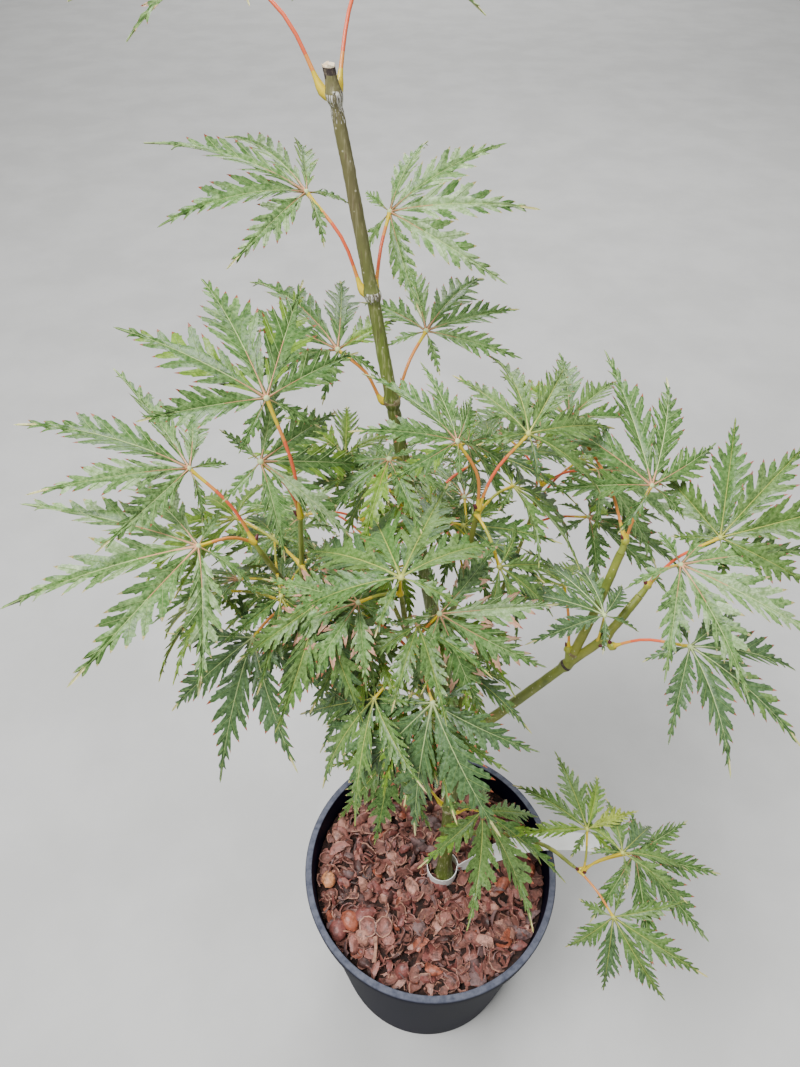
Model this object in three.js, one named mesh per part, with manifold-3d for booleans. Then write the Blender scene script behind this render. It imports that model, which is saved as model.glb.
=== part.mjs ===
/*
  A young potted japanese maple: a leaning leader and a few boughs in a round black pot, its crown
  made of deeply cut leaves on long stalks. Lengths are millimetres, angles are degrees, +Z is up,
  and the origin is the middle of the pot's flat underside. Headings turn from +X towards +Y, and a
  rise is the angle above the level.
*/
import * as THREE from "three";
import Module from "manifold-3d";
import { mergeVertices } from "three/addons/utils/BufferGeometryUtils.js";

const wasm = await Module();
wasm.setup();

// Clearance between pieces, and how far a face may shift when small faces are merged
const GAP = 0.3;
const SIMPLIFY_TOLERANCE = 0.01;

// Pot and its filling
const POT_HEIGHT = 170;
const POT_RADIUS = 95;
const POT_FOOT_RADIUS = 75;
const POT_WALL = 2;
const POT_FLOOR = 3;
const RIM_WIDTH = 5;
const RIM_HEIGHT = 12;
const POT_SIDES = 48;
const MULCH_LEVEL = 150;

// Trunk: its axis from the flat cut at the mulch to the pruned tip, and its radius along the way
const TRUNK_FOOT = MULCH_LEVEL + GAP;
const TRUNK_AXIS = [
  [11, -2, TRUNK_FOOT],
  [12, 8, 230],
  [12.6, 20, 316],
  [-6, 37, 430],
  [-26.7, 55, 552],
  [-41, 65, 640],
  [-48.8, 70, 686],
];
const TRUNK_FOOT_RADIUS = 5.2;
const TRUNK_TIP_RADIUS = 2.4;
const FLARE_RADIUS = 2.6;
const FLARE_HEIGHT = 10;
const FLARE_ROOTS = 5;

// Label: a strap looped round the trunk's foot, with a blade that runs out over the rim
const STRAP_THICKNESS = 0.8;
const STRAP_WIDTH = 12;
const LOOP_RADIUS = 12;
const LOOP_SHIFT = 1.5;
const LABEL_LIFT = 1;
const BLADE_ROOT = 10;
const BLADE_END = [132, 9, 181];

// Leaf: seven deeply cut lobes, each a blade that is thickest along its rib
const LEAF_SIZE = 80;
const LOBE_TURNS = [0, 36, -36, 76, -76, 134, -134];
const LOBE_LENGTHS = [1, 0.93, 0.93, 0.74, 0.74, 0.36, 0.36];
const LOBE_WIDTHS = [
  [0.42, 0.11],
  [0.7, 0.075],
];
const SINUS_REACH = 0.09;
const RIB_THICKNESS = 1.4;
const LOBE_BEND = 34;
const HUB_THICKNESS = 2;
const STALK_LENGTH = 45;
const STALK_RADIUS = 0.9;
const STALK_BOW = 12;

// Stems of the masses, and the swollen rings that carry leaves on the trunk
const TIP_GAP = GAP + 0.05;
const STEM_LEAD = 3;
const STEM_STEP = 0.1;
const COLLAR_SWELL = 2;

// Seeded differences: degrees of roll and turn, and fractions of a lobe's length and bend
const ROLL_SPREAD = 5;
const TURN_SPREAD = 2.5;
const REACH_SPREAD = 0.06;
const BEND_SPREAD = 0.35;

const radians = THREE.MathUtils.degToRad;

// The unit vector with this heading and rise.
function towards(heading, rise) {
  const level = Math.cos(radians(rise));
  return new THREE.Vector3(
    level * Math.cos(radians(heading)),
    level * Math.sin(radians(heading)),
    Math.sin(radians(rise)),
  );
}

// A seeded source of numbers from -1 to 1.
function seededSource(seed) {
  let state = (seed * 2654435761) >>> 0;
  return () => {
    state = (Math.imul(state, 1664525) + 1013904223) >>> 0;
    return (state / 4294967296) * 2 - 1;
  };
}

// A solid from a list of Vector3 points and a list of triangles that index them.
function solidOf(points, triangles) {
  return new wasm.Manifold(
    new wasm.Mesh({
      numProp: 3,
      vertProperties: new Float32Array(points.flatMap((p) => p.toArray())),
      triVerts: new Uint32Array(triangles.flat()),
    }),
  );
}

// A solid from a three.js geometry that is closed once its shared vertices are merged.
function solidOfGeometry(geometry) {
  const bare = new THREE.BufferGeometry();
  bare.setAttribute("position", geometry.getAttribute("position"));
  bare.setIndex(geometry.getIndex());
  const merged = mergeVertices(bare, 1e-4);
  return new wasm.Manifold(
    new wasm.Mesh({
      numProp: 3,
      vertProperties: new Float32Array(merged.attributes.position.array),
      triVerts: new Uint32Array(merged.index.array),
    }),
  );
}

// The three.js geometry of a solid.
function geometryOf(solid) {
  const mesh = solid.getMesh();
  const geometry = new THREE.BufferGeometry();
  geometry.setAttribute("position", new THREE.BufferAttribute(mesh.vertProperties, 3));
  geometry.setIndex(new THREE.BufferAttribute(mesh.triVerts, 1));
  geometry.computeVertexNormals();
  return geometry;
}

// The largest separate body of a solid: loose scraps and sealed hollows fall away.
function mainBody(solid) {
  return solid.decompose().reduce((a, b) => (b.volume() > a.volume() ? b : a));
}

function curveThrough(points) {
  const vectors = points.map((p) => (p.isVector3 ? p : new THREE.Vector3(...p)));
  return new THREE.CatmullRomCurve3(vectors, false, "centripetal");
}

// A round limb along a curve. radiusAt takes the fraction along it and the angle round it. A level
// limb keeps its rings horizontal, so its foot is a flat cut.
function limbSolid(curve, radiusAt, sides, steps, level = false) {
  const frames = curve.computeFrenetFrames(steps, false);
  const points = [];
  for (let i = 0; i <= steps; i++) {
    const centre = curve.getPointAt(i / steps);
    const across = level ? new THREE.Vector3(1, 0, 0) : frames.normals[i];
    const along = level ? new THREE.Vector3(0, 1, 0) : frames.binormals[i];
    for (let k = 0; k < sides; k++) {
      const angle = (2 * Math.PI * k) / sides;
      const radius = radiusAt(i / steps, angle);
      points.push(
        centre
          .clone()
          .addScaledVector(across, radius * Math.cos(angle))
          .addScaledVector(along, radius * Math.sin(angle)),
      );
    }
  }
  const triangles = [];
  for (let i = 0; i < steps; i++) {
    for (let k = 0; k < sides; k++) {
      const a = i * sides + k;
      const b = i * sides + ((k + 1) % sides);
      triangles.push([a, b, b + sides], [a, b + sides, a + sides]);
    }
  }
  const last = steps * sides;
  for (let k = 1; k < sides - 1; k++) {
    triangles.push([0, k + 1, k], [last, last + k, last + k + 1]);
  }
  return solidOf(points, triangles);
}

// Pot and mulch

const insideRadius = (z) =>
  THREE.MathUtils.lerp(POT_FOOT_RADIUS, POT_RADIUS - RIM_WIDTH + POT_WALL, z / POT_HEIGHT) - POT_WALL;

// A body turned round the upright axis from its half outline, given from the bottom up.
function turned(outline) {
  const lathe = new THREE.LatheGeometry(
    outline.map(([r, z]) => new THREE.Vector2(r, z)),
    POT_SIDES,
  );
  lathe.rotateX(Math.PI / 2);
  return solidOfGeometry(lathe);
}

function potSolid() {
  const rimFoot = POT_HEIGHT - RIM_HEIGHT;
  return turned([
    [0, 0],
    [POT_FOOT_RADIUS - 1, 0],
    [POT_FOOT_RADIUS, 1],
    [insideRadius(rimFoot) + POT_WALL, rimFoot],
    [POT_RADIUS - 1, rimFoot],
    [POT_RADIUS, POT_HEIGHT - 1.5],
    [POT_RADIUS - 1.5, POT_HEIGHT],
    [insideRadius(POT_HEIGHT), POT_HEIGHT],
    [insideRadius(POT_FLOOR), POT_FLOOR],
    [0, POT_FLOOR],
  ]);
}

function mulchSolid() {
  const bottom = POT_FLOOR + GAP;
  return turned([
    [0, bottom],
    [insideRadius(bottom) - GAP, bottom],
    [insideRadius(MULCH_LEVEL) - GAP, MULCH_LEVEL],
    [0, MULCH_LEVEL],
  ]);
}

// Trunk and boughs

const trunkCurve = curveThrough(TRUNK_AXIS);

function trunkRadius(fraction, angle) {
  const height = (TRUNK_AXIS.at(-1)[2] - TRUNK_FOOT) * fraction;
  const flare = FLARE_RADIUS * Math.exp(-height / FLARE_HEIGHT);
  const lobes = 1 + 0.25 * Math.cos(FLARE_ROOTS * angle);
  return THREE.MathUtils.lerp(TRUNK_FOOT_RADIUS, TRUNK_TIP_RADIUS, fraction) + flare * lobes;
}

const trunkLimb = (spare) =>
  limbSolid(trunkCurve, (t, angle) => trunkRadius(t, angle) + spare, 10, 28, true);

// The fraction along the trunk at which it reaches a height.
function trunkFraction(z) {
  let low = 0;
  let high = 1;
  for (let i = 0; i < 20; i++) {
    const middle = (low + high) / 2;
    if (trunkCurve.getPointAt(middle).z < z) low = middle;
    else high = middle;
  }
  return low;
}

const onTrunk = (z) => trunkCurve.getPointAt(trunkFraction(z));

// Each bough: the way its axis takes from its parent's axis, and its radius at foot and tip.
const BOUGHS = [
  {
    name: "bough_right",
    axis: [onTrunk(310), [38, 12, 358], [70, 9, 411], [86, 11, 431], [103, 22, 452]],
    radii: [3.6, 2.2],
  },
  {
    name: "bough_right_side",
    axis: [[70, 9, 411], [80, 18, 444], [89, 28, 478]],
    radii: [2.6, 2.2],
  },
  {
    name: "bough_left",
    axis: [onTrunk(262), [-16, 28, 318], [-48, 33, 378], [-74, 22, 443], [-88, 7, 500]],
    radii: [2.4, 1.4],
  },
  {
    name: "bough_centre",
    axis: [onTrunk(340), [-8, 18, 400], [-19, 0, 450], [-22, -9, 484]],
    radii: [2.2, 1.3],
  },
  {
    name: "bough_front",
    axis: [onTrunk(286), [4, 2, 340], [-10, -12, 400], [-15, -18, 446]],
    radii: [2.2, 1.3],
  },
  {
    name: "bough_upper_right",
    axis: [onTrunk(396), [9, 29, 450], [13, 23, 506]],
    radii: [2.0, 1.3],
  },
  {
    name: "bough_low_right",
    axis: [onTrunk(205), [46, 0, 220], [78, -16, 234], [93, -32, 240]],
    radii: [2.0, 1.2],
  },
  {
    name: "bough_back_left",
    axis: [onTrunk(300), [-12, 62, 345], [-34, 92, 385]],
    radii: [2.2, 1.3],
  },
  {
    name: "bough_back_right",
    axis: [onTrunk(330), [34, 68, 372], [54, 104, 405]],
    radii: [2.2, 1.3],
  },
];

function boughLimb(bough, spare) {
  const [foot, tip] = bough.radii;
  const radiusAt = (t) => THREE.MathUtils.lerp(foot, tip, t) + spare;
  return limbSolid(curveThrough(bough.axis), radiusAt, 8, 14);
}

// Leaves

// The solid of one blade at its hub, with a seeded source for the small differences between lobes.
function bladeSolid(hub, spec, random) {
  const size = LEAF_SIZE * spec.size;
  const ahead = towards(spec.heading, spec.rise);
  const roll = radians(spec.roll + ROLL_SPREAD * random());
  const level = new THREE.Vector3(0, 0, 1).cross(ahead).normalize();
  const normal = ahead.clone().cross(level).applyAxisAngle(ahead, roll);
  const left = normal.clone().cross(ahead);
  const place = (direction, reach, across, side, lift) =>
    hub
      .clone()
      .addScaledVector(direction, reach)
      .addScaledVector(across, side)
      .addScaledVector(normal, lift);
  const points = [
    hub.clone().addScaledVector(normal, HUB_THICKNESS / 2),
    hub.clone().addScaledVector(normal, -HUB_THICKNESS / 2),
  ];
  const triangles = [];
  const lobes = LOBE_TURNS.map((turn, i) => ({
    turn: radians(turn + TURN_SPREAD * random()),
    reach: size * LOBE_LENGTHS[i] * (1 + REACH_SPREAD * random()),
    bend: radians(LOBE_BEND * (1 + BEND_SPREAD * random())),
  })).sort((a, b) => a.turn - b.turn);
  lobes.forEach((lobe, i) => {
    const next = lobes[(i + 1) % lobes.length];
    const nextTurn = next.turn + (i + 1 === lobes.length ? 2 * Math.PI : 0);
    const middle = (lobe.turn + nextTurn) / 2;
    const direction = ahead
      .clone()
      .multiplyScalar(Math.cos(middle))
      .addScaledVector(left, Math.sin(middle));
    lobe.sinus = points.length;
    points.push(place(direction, size * SINUS_REACH, left, 0, 0));
  });
  const both = (a, b, c, shift) => {
    triangles.push([a[0], b[0], c[0]], [a[shift], c[shift], b[shift]]);
  };
  lobes.forEach((lobe, i) => {
    const before = lobes[(i + lobes.length - 1) % lobes.length].sinus;
    const direction = ahead
      .clone()
      .multiplyScalar(Math.cos(lobe.turn))
      .addScaledVector(left, Math.sin(lobe.turn));
    const across = normal.clone().cross(direction);
    const at = (s, side, thickness) => {
      const reach = (lobe.reach * Math.sin(lobe.bend * s)) / lobe.bend;
      const drop = (lobe.reach * (1 - Math.cos(lobe.bend * s))) / lobe.bend;
      points.push(place(direction, reach, across, side * lobe.reach, thickness / 2 - drop));
      return points.length - 1;
    };
    const hubPair = [0, 1];
    const edge = (index) => [index, index];
    const stations = lobe.reach > 0.5 * size ? LOBE_WIDTHS : LOBE_WIDTHS.slice(0, 1);
    let right = edge(before);
    let leftEdge = edge(lobe.sinus);
    let rib = hubPair;
    for (const [s, width] of stations) {
      const nextRib = [at(s, 0, RIB_THICKNESS), at(s, 0, -RIB_THICKNESS)];
      const nextRight = edge(at(s, -width, 0));
      const nextLeft = edge(at(s, width, 0));
      both(rib, right, nextRib, 1);
      both(right, nextRight, nextRib, 1);
      both(rib, nextRib, leftEdge, 1);
      both(leftEdge, nextRib, nextLeft, 1);
      right = nextRight;
      leftEdge = nextLeft;
      rib = nextRib;
    }
    const tip = edge(at(1, 0, 0));
    both(rib, right, tip, 1);
    both(rib, tip, leftEdge, 1);
  });
  return solidOf(points, triangles);
}

// One leaf of a mass: the heading and rise of its stalk, those of its blade's middle lobe, the roll
// of the blade about that lobe, and how its size and stalk compare with the usual ones.
const leaf = (stalkHeading, stalkRise, heading, rise, roll, size, stalk) => ({
  stalkHeading,
  stalkRise,
  heading,
  rise,
  roll,
  size,
  stalk,
});

// One whole leaf: a three-sided stalk that bows up from its node, and the blade at its end.
function leafSolid(node, spec, random) {
  const length = STALK_LENGTH * spec.stalk;
  const hub = node.clone().addScaledVector(towards(spec.stalkHeading, spec.stalkRise), length);
  const bowRise = Math.min(spec.stalkRise + STALK_BOW, 88);
  const bow = node.clone().addScaledVector(towards(spec.stalkHeading, bowRise), length / 2);
  const stalk = limbSolid(
    curveThrough([node, bow, hub]),
    (t) => STALK_RADIUS * (1 + 0.5 * (1 - t) ** 4),
    3,
    4,
  );
  return stalk.add(bladeSolid(hub, spec, random));
}

// The leaves of a shoot that follows the usual rule: opposite pairs that turn a quarter from node
// to node, stalks that rise, and blades that hang outwards.
function ruledLeaves(count, heading, seed) {
  const random = seededSource(seed);
  return Array.from({ length: count }, (_, k) => {
    const side = k % 2 ? -1 : 1;
    const spread = (k >> 1) % 2 ? 35 : 85;
    const turn = heading + side * spread + 10 * random();
    return leaf(turn, 35 + 15 * random(), turn + 8 * random(), -5 + 12 * random(), 0, 0.95, 0.9);
  });
}

// Foliage masses: the limb each grows on and the fraction along it, its stem, and its leaves, two
// to a node from the foot of the stem to its tip.
const MASSES = [
  {
    name: "leaves_leader_top",
    collar: 676,
    leaves: [leaf(150, 45, 155, 5, 0, 0.85, 1.15), leaf(75, 42, 60, 5, 0, 0.85, 1.15)],
  },
  {
    name: "leaves_leader_upper",
    collar: 602,
    leaves: [leaf(145, 52, 175, 30, -10, 0.85, 1), leaf(75, 45, -15, 18, 40, 0.8, 0.75)],
  },
  {
    name: "leaves_leader_lower",
    collar: 552,
    leaves: [leaf(172, 52, 125, 26, 5, 0.9, 0.7), leaf(60, 37, 60, 20, 15, 0.8, 0.75)],
  },
  {
    name: "leaves_leader_foot",
    collar: 490,
    leaves: [leaf(150, 30, 125, 5, 0, 0.8, 0.9), leaf(30, 25, 50, 0, 0, 0.85, 1)],
  },
  {
    name: "leaves_left_tip",
    limb: "bough_left",
    at: 1,
    stem: [150, 65, 4],
    leaves: [leaf(160, 54, 175, 35, -5, 0.95, 1), leaf(-136, 31, -147, 15, -15, 1.05, 0.7)],
  },
  {
    name: "leaves_left_low",
    limb: "bough_left",
    at: 0.8,
    stem: [-125, 30, 8],
    leaves: [leaf(-126, 0, -112, -34, 0, 0.95, 0.6), leaf(170, 5, 165, -35, 0, 0.9, 0.8)],
  },
  {
    name: "leaves_left_upper",
    limb: "bough_left",
    at: 0.78,
    stem: [-67, 76, 84],
    leaves: [
      leaf(150, 20, 160, -15, 0, 0.85, 0.9),
      leaf(-70, 10, -62, -35, 0, 0.85, 0.7),
      leaf(142, 79, 120, 38, 0, 0.9, 1.3),
      leaf(179, 66, 20, -15, 38, 0.8, 0.75),
    ],
  },
  {
    name: "leaves_centre",
    limb: "bough_centre",
    at: 1,
    stem: [-110, 70, 5],
    leaves: [leaf(-89, 60, 107, 2, -10, 0.95, 0.75), leaf(-160, 28, -178, -14, 0, 0.8, 0.7)],
  },
  {
    name: "leaves_centre_upper",
    limb: "bough_upper_right",
    at: 1,
    stem: [-60, 80, 5],
    leaves: [
      leaf(-62, -36, -10, -35, 20, 0.6, 0.6),
      leaf(50, -6, 20, -30, 0, 0.8, 0.7),
      leaf(176, 73, 150, 38, 0, 0.65, 0.9),
      leaf(25, 58, 60, 11, 30, 0.85, 0.95),
    ],
  },
  {
    name: "leaves_front",
    limb: "bough_front",
    at: 1,
    stem: [-90, 75, 6],
    leaves: [
      leaf(-72, -2, -107, -40, 10, 0.95, 0.55),
      leaf(-140, -16, -150, -42, 0, 0.85, 0.6),
      leaf(158, 35, -156, -8, -40, 0.7, 0.75),
      leaf(3, 72, -21, -22, 42, 0.8, 0.75),
    ],
  },
  {
    name: "leaves_right_inner",
    limb: "bough_right",
    at: 0.68,
    stem: [110, 70, 9],
    leaves: [leaf(100, 55, 108, -22, 0, 0.65, 0.8)],
  },
  {
    name: "leaves_right_fork",
    limb: "bough_right",
    at: 0.82,
    stem: [-60, 20, 8],
    leaves: [leaf(-33, 35, -39, -3, 5, 0.9, 0.95)],
  },
  {
    name: "leaves_right_upper",
    limb: "bough_right_side",
    at: 1,
    stem: [60, 75, 4],
    leaves: [leaf(46, 66, 109, 40, 0, 1, 0.7), leaf(126, 43, 85, 10, 0, 0.8, 1.5)],
  },
  {
    name: "leaves_right_outer",
    limb: "bough_right",
    at: 1,
    stem: [30, 65, 4],
    leaves: [leaf(-2, 53, 30, 45, 20, 0.9, 1), leaf(-52, 64, -34, 2, 18, 1, 0.65)],
  },
  {
    name: "leaves_low_right",
    limb: "bough_low_right",
    at: 1,
    stem: [-40, 40, 5],
    leaves: [
      leaf(-56, -10, -64, -20, 35, 0.85, 0.75),
      leaf(11, 16, -45, -20, 18, 0.95, 0.85),
      leaf(88, 60, 101, 4, 0, 0.8, 0.7),
      leaf(-2, 57, 45, -20, 0, 0.8, 0.8),
    ],
  },
  {
    name: "leaves_low_front",
    collar: 240,
    leaves: [leaf(-33, 50, -60, -5, -25, 1.05, 0.6), leaf(154, 43, -97, -30, 0, 0.8, 1.2)],
  },
  {
    name: "leaves_back_left",
    limb: "bough_back_left",
    at: 1,
    stem: [115, 45, 40],
    rule: { count: 6, heading: 115, seed: 21 },
  },
  {
    name: "leaves_back_right",
    limb: "bough_back_right",
    at: 1,
    stem: [62, 45, 40],
    rule: { count: 6, heading: 58, seed: 22 },
  },
];

// A swollen ring round the trunk that joins the stalks of an opposite pair.
function collarSolid(z) {
  const centre = onTrunk(z);
  const radius = trunkRadius(trunkFraction(z), 0) + COLLAR_SWELL;
  const ball = new THREE.SphereGeometry(radius, 10, 6);
  ball.rotateX(Math.PI / 2);
  ball.translate(centre.x, centre.y, centre.z);
  return solidOfGeometry(ball);
}

// The stem of a mass: its curve and its foot radius. On a bough's tip it sets out just clear of it,
// along the bough, and elsewhere it starts inside the bough and is cut clear of it afterwards.
function stemOf(mass) {
  const bough = BOUGHS.find((b) => b.name === mass.limb);
  const curve = curveThrough(bough.axis);
  const [heading, rise, length] = mass.stem;
  const points = [curve.getPointAt(mass.at)];
  if (mass.at === 1) {
    const tangent = curve.getTangentAt(1);
    points[0].addScaledVector(tangent, TIP_GAP);
    points.push(points[0].clone().addScaledVector(tangent, STEM_LEAD));
  }
  points.push(points.at(-1).clone().addScaledVector(towards(heading, rise), length));
  const radius = THREE.MathUtils.lerp(...bough.radii, mass.at) - STEM_STEP;
  return { curve: curveThrough(points), radius };
}

// Where the stalk of leaf k of a mass starts.
function leafNode(mass, k, count, spec) {
  if (!mass.collar) {
    const nodes = Math.ceil(count / 2);
    return stemOf(mass).curve.getPointAt((Math.floor(k / 2) + 1) / nodes);
  }
  const reach = trunkRadius(trunkFraction(mass.collar), 0) + 1.5 * STALK_RADIUS + 2 * GAP;
  return onTrunk(mass.collar).addScaledVector(towards(spec.stalkHeading, 0), reach);
}

// Builds one mass: its collar or stem, and every leaf that stays clear of what is already there.
function massSolid(mass, index) {
  const random = seededSource(index + 1);
  const leaves = mass.leaves ?? ruledLeaves(mass.rule.count, mass.rule.heading, mass.rule.seed);
  let body;
  if (mass.collar) {
    body = collarSolid(mass.collar);
  } else {
    const { curve, radius } = stemOf(mass);
    body = limbSolid(curve, (t) => radius * (1 - 0.3 * t), 6, 4);
  }
  for (const limb of fatLimbs) body = body.subtract(limb);
  body = mainBody(body);
  leaves.forEach((spec, k) => {
    const solid = leafSolid(leafNode(mass, k, leaves.length, spec), spec, random);
    if (placed.every((other) => solid.minGap(other, GAP) >= GAP)) body = body.add(solid);
  });
  return mainBody(body).simplify(SIMPLIFY_TOLERANCE);
}

// Label

// A strap ring round the trunk's foot, with a flat straight blade that clears the rim on its right.
function labelSolid() {
  const foot = onTrunk(MULCH_LEVEL + STRAP_WIDTH / 2);
  const bottom = MULCH_LEVEL + LABEL_LIFT;
  const loop = new THREE.Shape();
  loop.absarc(0, 0, LOOP_RADIUS + STRAP_THICKNESS / 2, 0, 2 * Math.PI);
  const hole = new THREE.Path();
  hole.absarc(0, 0, LOOP_RADIUS - STRAP_THICKNESS / 2, 0, 2 * Math.PI, true);
  loop.holes.push(hole);
  const ring = new THREE.ExtrudeGeometry(loop, {
    depth: STRAP_WIDTH,
    bevelEnabled: false,
    curveSegments: 12,
  });
  const middle = new THREE.Vector3(foot.x - LOOP_SHIFT, foot.y + LOOP_SHIFT, bottom);
  ring.translate(middle.x, middle.y, middle.z);
  const start = middle.add(new THREE.Vector3(BLADE_ROOT, 0, STRAP_WIDTH / 2));
  const end = new THREE.Vector3(...BLADE_END);
  const length = start.distanceTo(end);
  const blade = new THREE.BoxGeometry(length, STRAP_WIDTH, STRAP_THICKNESS);
  blade.translate(length / 2, 0, 0);
  const turn = new THREE.Quaternion().setFromUnitVectors(
    new THREE.Vector3(1, 0, 0),
    end.clone().sub(start).normalize(),
  );
  blade.applyQuaternion(turn);
  blade.translate(start.x, start.y, start.z);
  return solidOfGeometry(ring).add(solidOfGeometry(blade));
}

// The whole plant

const plant = new THREE.Group();
plant.name = "potted_japanese_maple";

const plastic = new THREE.MeshStandardMaterial({ color: 0x32343e, roughness: 0.55, metalness: 0 });
const husk = new THREE.MeshStandardMaterial({ color: 0x8a5546, roughness: 0.9, metalness: 0 });
const bark = new THREE.MeshStandardMaterial({ color: 0x7b8350, roughness: 0.7, metalness: 0 });
const foliage = new THREE.MeshStandardMaterial({ color: 0x5f8558, roughness: 0.6, metalness: 0 });
const tag = new THREE.MeshStandardMaterial({ color: 0xf2f2ee, roughness: 0.5, metalness: 0 });

// Every solid so far, and the limbs again with the clearance added, for cutting their neighbours.
const placed = [];
const fatLimbs = [];

function addPiece(name, solid, material) {
  const mesh = new THREE.Mesh(geometryOf(solid), material);
  mesh.name = name;
  plant.add(mesh);
  placed.push(solid);
}

addPiece("pot", potSolid(), plastic);
addPiece("mulch", mulchSolid(), husk);
addPiece("label", labelSolid(), tag);
addPiece("trunk", trunkLimb(0), bark);
fatLimbs.push(trunkLimb(GAP));
for (const bough of BOUGHS) {
  let solid = boughLimb(bough, 0);
  for (const limb of fatLimbs) solid = solid.subtract(limb);
  addPiece(bough.name, mainBody(solid), bark);
  fatLimbs.push(boughLimb(bough, GAP));
}
MASSES.forEach((mass, index) => addPiece(mass.name, massSolid(mass, index), foliage));

export default plant;
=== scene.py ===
"""Potted japanese maple, dressed: bark, stalks, toothed seven-lobed leaves, husk mulch, pot and label.

Sizes are millimetres until a mesh is made, angles are degrees, +Z is up, and the origin is the middle
of the pot's flat underside. Headings turn from +X towards +Y, and a rise is the angle above the level.
"""

import logging
from dataclasses import dataclass, field
from enum import IntEnum
from math import asin, ceil, cos, degrees, exp, hypot, pi, radians, sin, sqrt
from typing import Callable, Sequence

import bpy
import numpy as np
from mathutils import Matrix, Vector
from mathutils.kdtree import KDTree


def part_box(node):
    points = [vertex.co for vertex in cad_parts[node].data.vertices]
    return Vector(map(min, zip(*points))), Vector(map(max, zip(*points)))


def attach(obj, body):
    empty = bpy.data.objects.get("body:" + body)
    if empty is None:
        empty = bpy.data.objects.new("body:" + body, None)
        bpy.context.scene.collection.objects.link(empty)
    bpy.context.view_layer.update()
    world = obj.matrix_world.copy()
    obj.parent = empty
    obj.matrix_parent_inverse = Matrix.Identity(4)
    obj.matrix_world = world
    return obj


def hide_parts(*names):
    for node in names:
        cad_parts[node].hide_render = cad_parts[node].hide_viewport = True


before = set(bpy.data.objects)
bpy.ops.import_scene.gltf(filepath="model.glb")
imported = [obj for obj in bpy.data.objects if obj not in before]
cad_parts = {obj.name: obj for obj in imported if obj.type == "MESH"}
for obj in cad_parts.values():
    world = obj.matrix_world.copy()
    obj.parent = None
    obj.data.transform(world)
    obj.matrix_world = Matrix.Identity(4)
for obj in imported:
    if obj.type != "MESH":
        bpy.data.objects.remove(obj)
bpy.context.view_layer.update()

Array = np.ndarray
Colour = tuple[int, int, int]
Triple = tuple[float, float, float]
Curve = Callable[[float], float]
Piece = bpy.types.Object
Tree = bpy.types.NodeTree
Socket = bpy.types.NodeSocket
log = logging.getLogger("maple")

MM = 0.001
GAP = 0.3

# Pot and its filling
POT_HEIGHT = 170.0
POT_RADIUS = 95.0
POT_FOOT_RADIUS = 75.0
POT_WALL = 2.0
POT_FLOOR = 3.0
RIM_WIDTH = 5.0
RIM_HEIGHT = 12.0
MULCH_LEVEL = 150.0

# Trunk
TRUNK_FOOT = MULCH_LEVEL + GAP
TRUNK_AXIS = [
    (11, -2, TRUNK_FOOT),
    (12, 8, 230),
    (12.6, 20, 316),
    (-6, 37, 430),
    (-26.7, 55, 552),
    (-41, 65, 640),
    (-48.8, 70, 686),
]
TRUNK_FOOT_RADIUS = 5.2
TRUNK_TIP_RADIUS = 2.4
FLARE_RADIUS = 2.6
FLARE_HEIGHT = 10.0
FLARE_ROOTS = 5
FLARE_LOBES = 0.25

# Leaves
LEAF_SIZE = 80.0
LOBE_TURNS = [0, 36, -36, 76, -76, 134, -134]
LOBE_LENGTHS = [1, 0.93, 0.93, 0.74, 0.74, 0.36, 0.36]
LOBE_BEND = 34.0
STALK_LENGTH = 45.0
STALK_RADIUS = 0.9
STALK_BOW = 12.0
STEEPEST_BOW = 88.0
STEM_LEAD = 3.0
TIP_GAP = GAP + 0.05
STEM_STEP = 0.1
STEM_TAPER = 0.3
ROLL_SPREAD = 5.0
TURN_SPREAD = 2.5
REACH_SPREAD = 0.06
BEND_SPREAD = 0.35


class Draws:
    """Numbers from -1 to 1 in a fixed order."""

    def __init__(self, seed: int) -> None:
        """Starts the order that belongs to a seed."""
        self.state = (seed * 2654435761) % 2**32

    def draw(self) -> float:
        """The next number."""
        self.state = (self.state * 1664525 + 1013904223) % 2**32
        return self.state / 2**32 * 2 - 1

    def pick(self, choices: Sequence) -> object:
        """One of several choices, each as likely as the others."""
        return choices[min(int((self.draw() + 1) / 2 * len(choices)), len(choices) - 1)]


def towards(heading: float, rise: float) -> Array:
    """The unit vector with this heading and rise."""
    level = cos(radians(rise))
    across = radians(heading)
    return np.array([level * cos(across), level * sin(across), sin(radians(rise))])


def unit(vector: Array) -> Array:
    """A vector scaled to length one."""
    return vector / np.linalg.norm(vector)


def turned_about(vector: Array, axis: Array, angle: float) -> Array:
    """A vector turned about a unit axis by an angle in radians."""
    cosine = cos(angle)
    sine = sin(angle)
    return vector * cosine + np.cross(axis, vector) * sine + axis * np.dot(axis, vector) * (1 - cosine)


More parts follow.
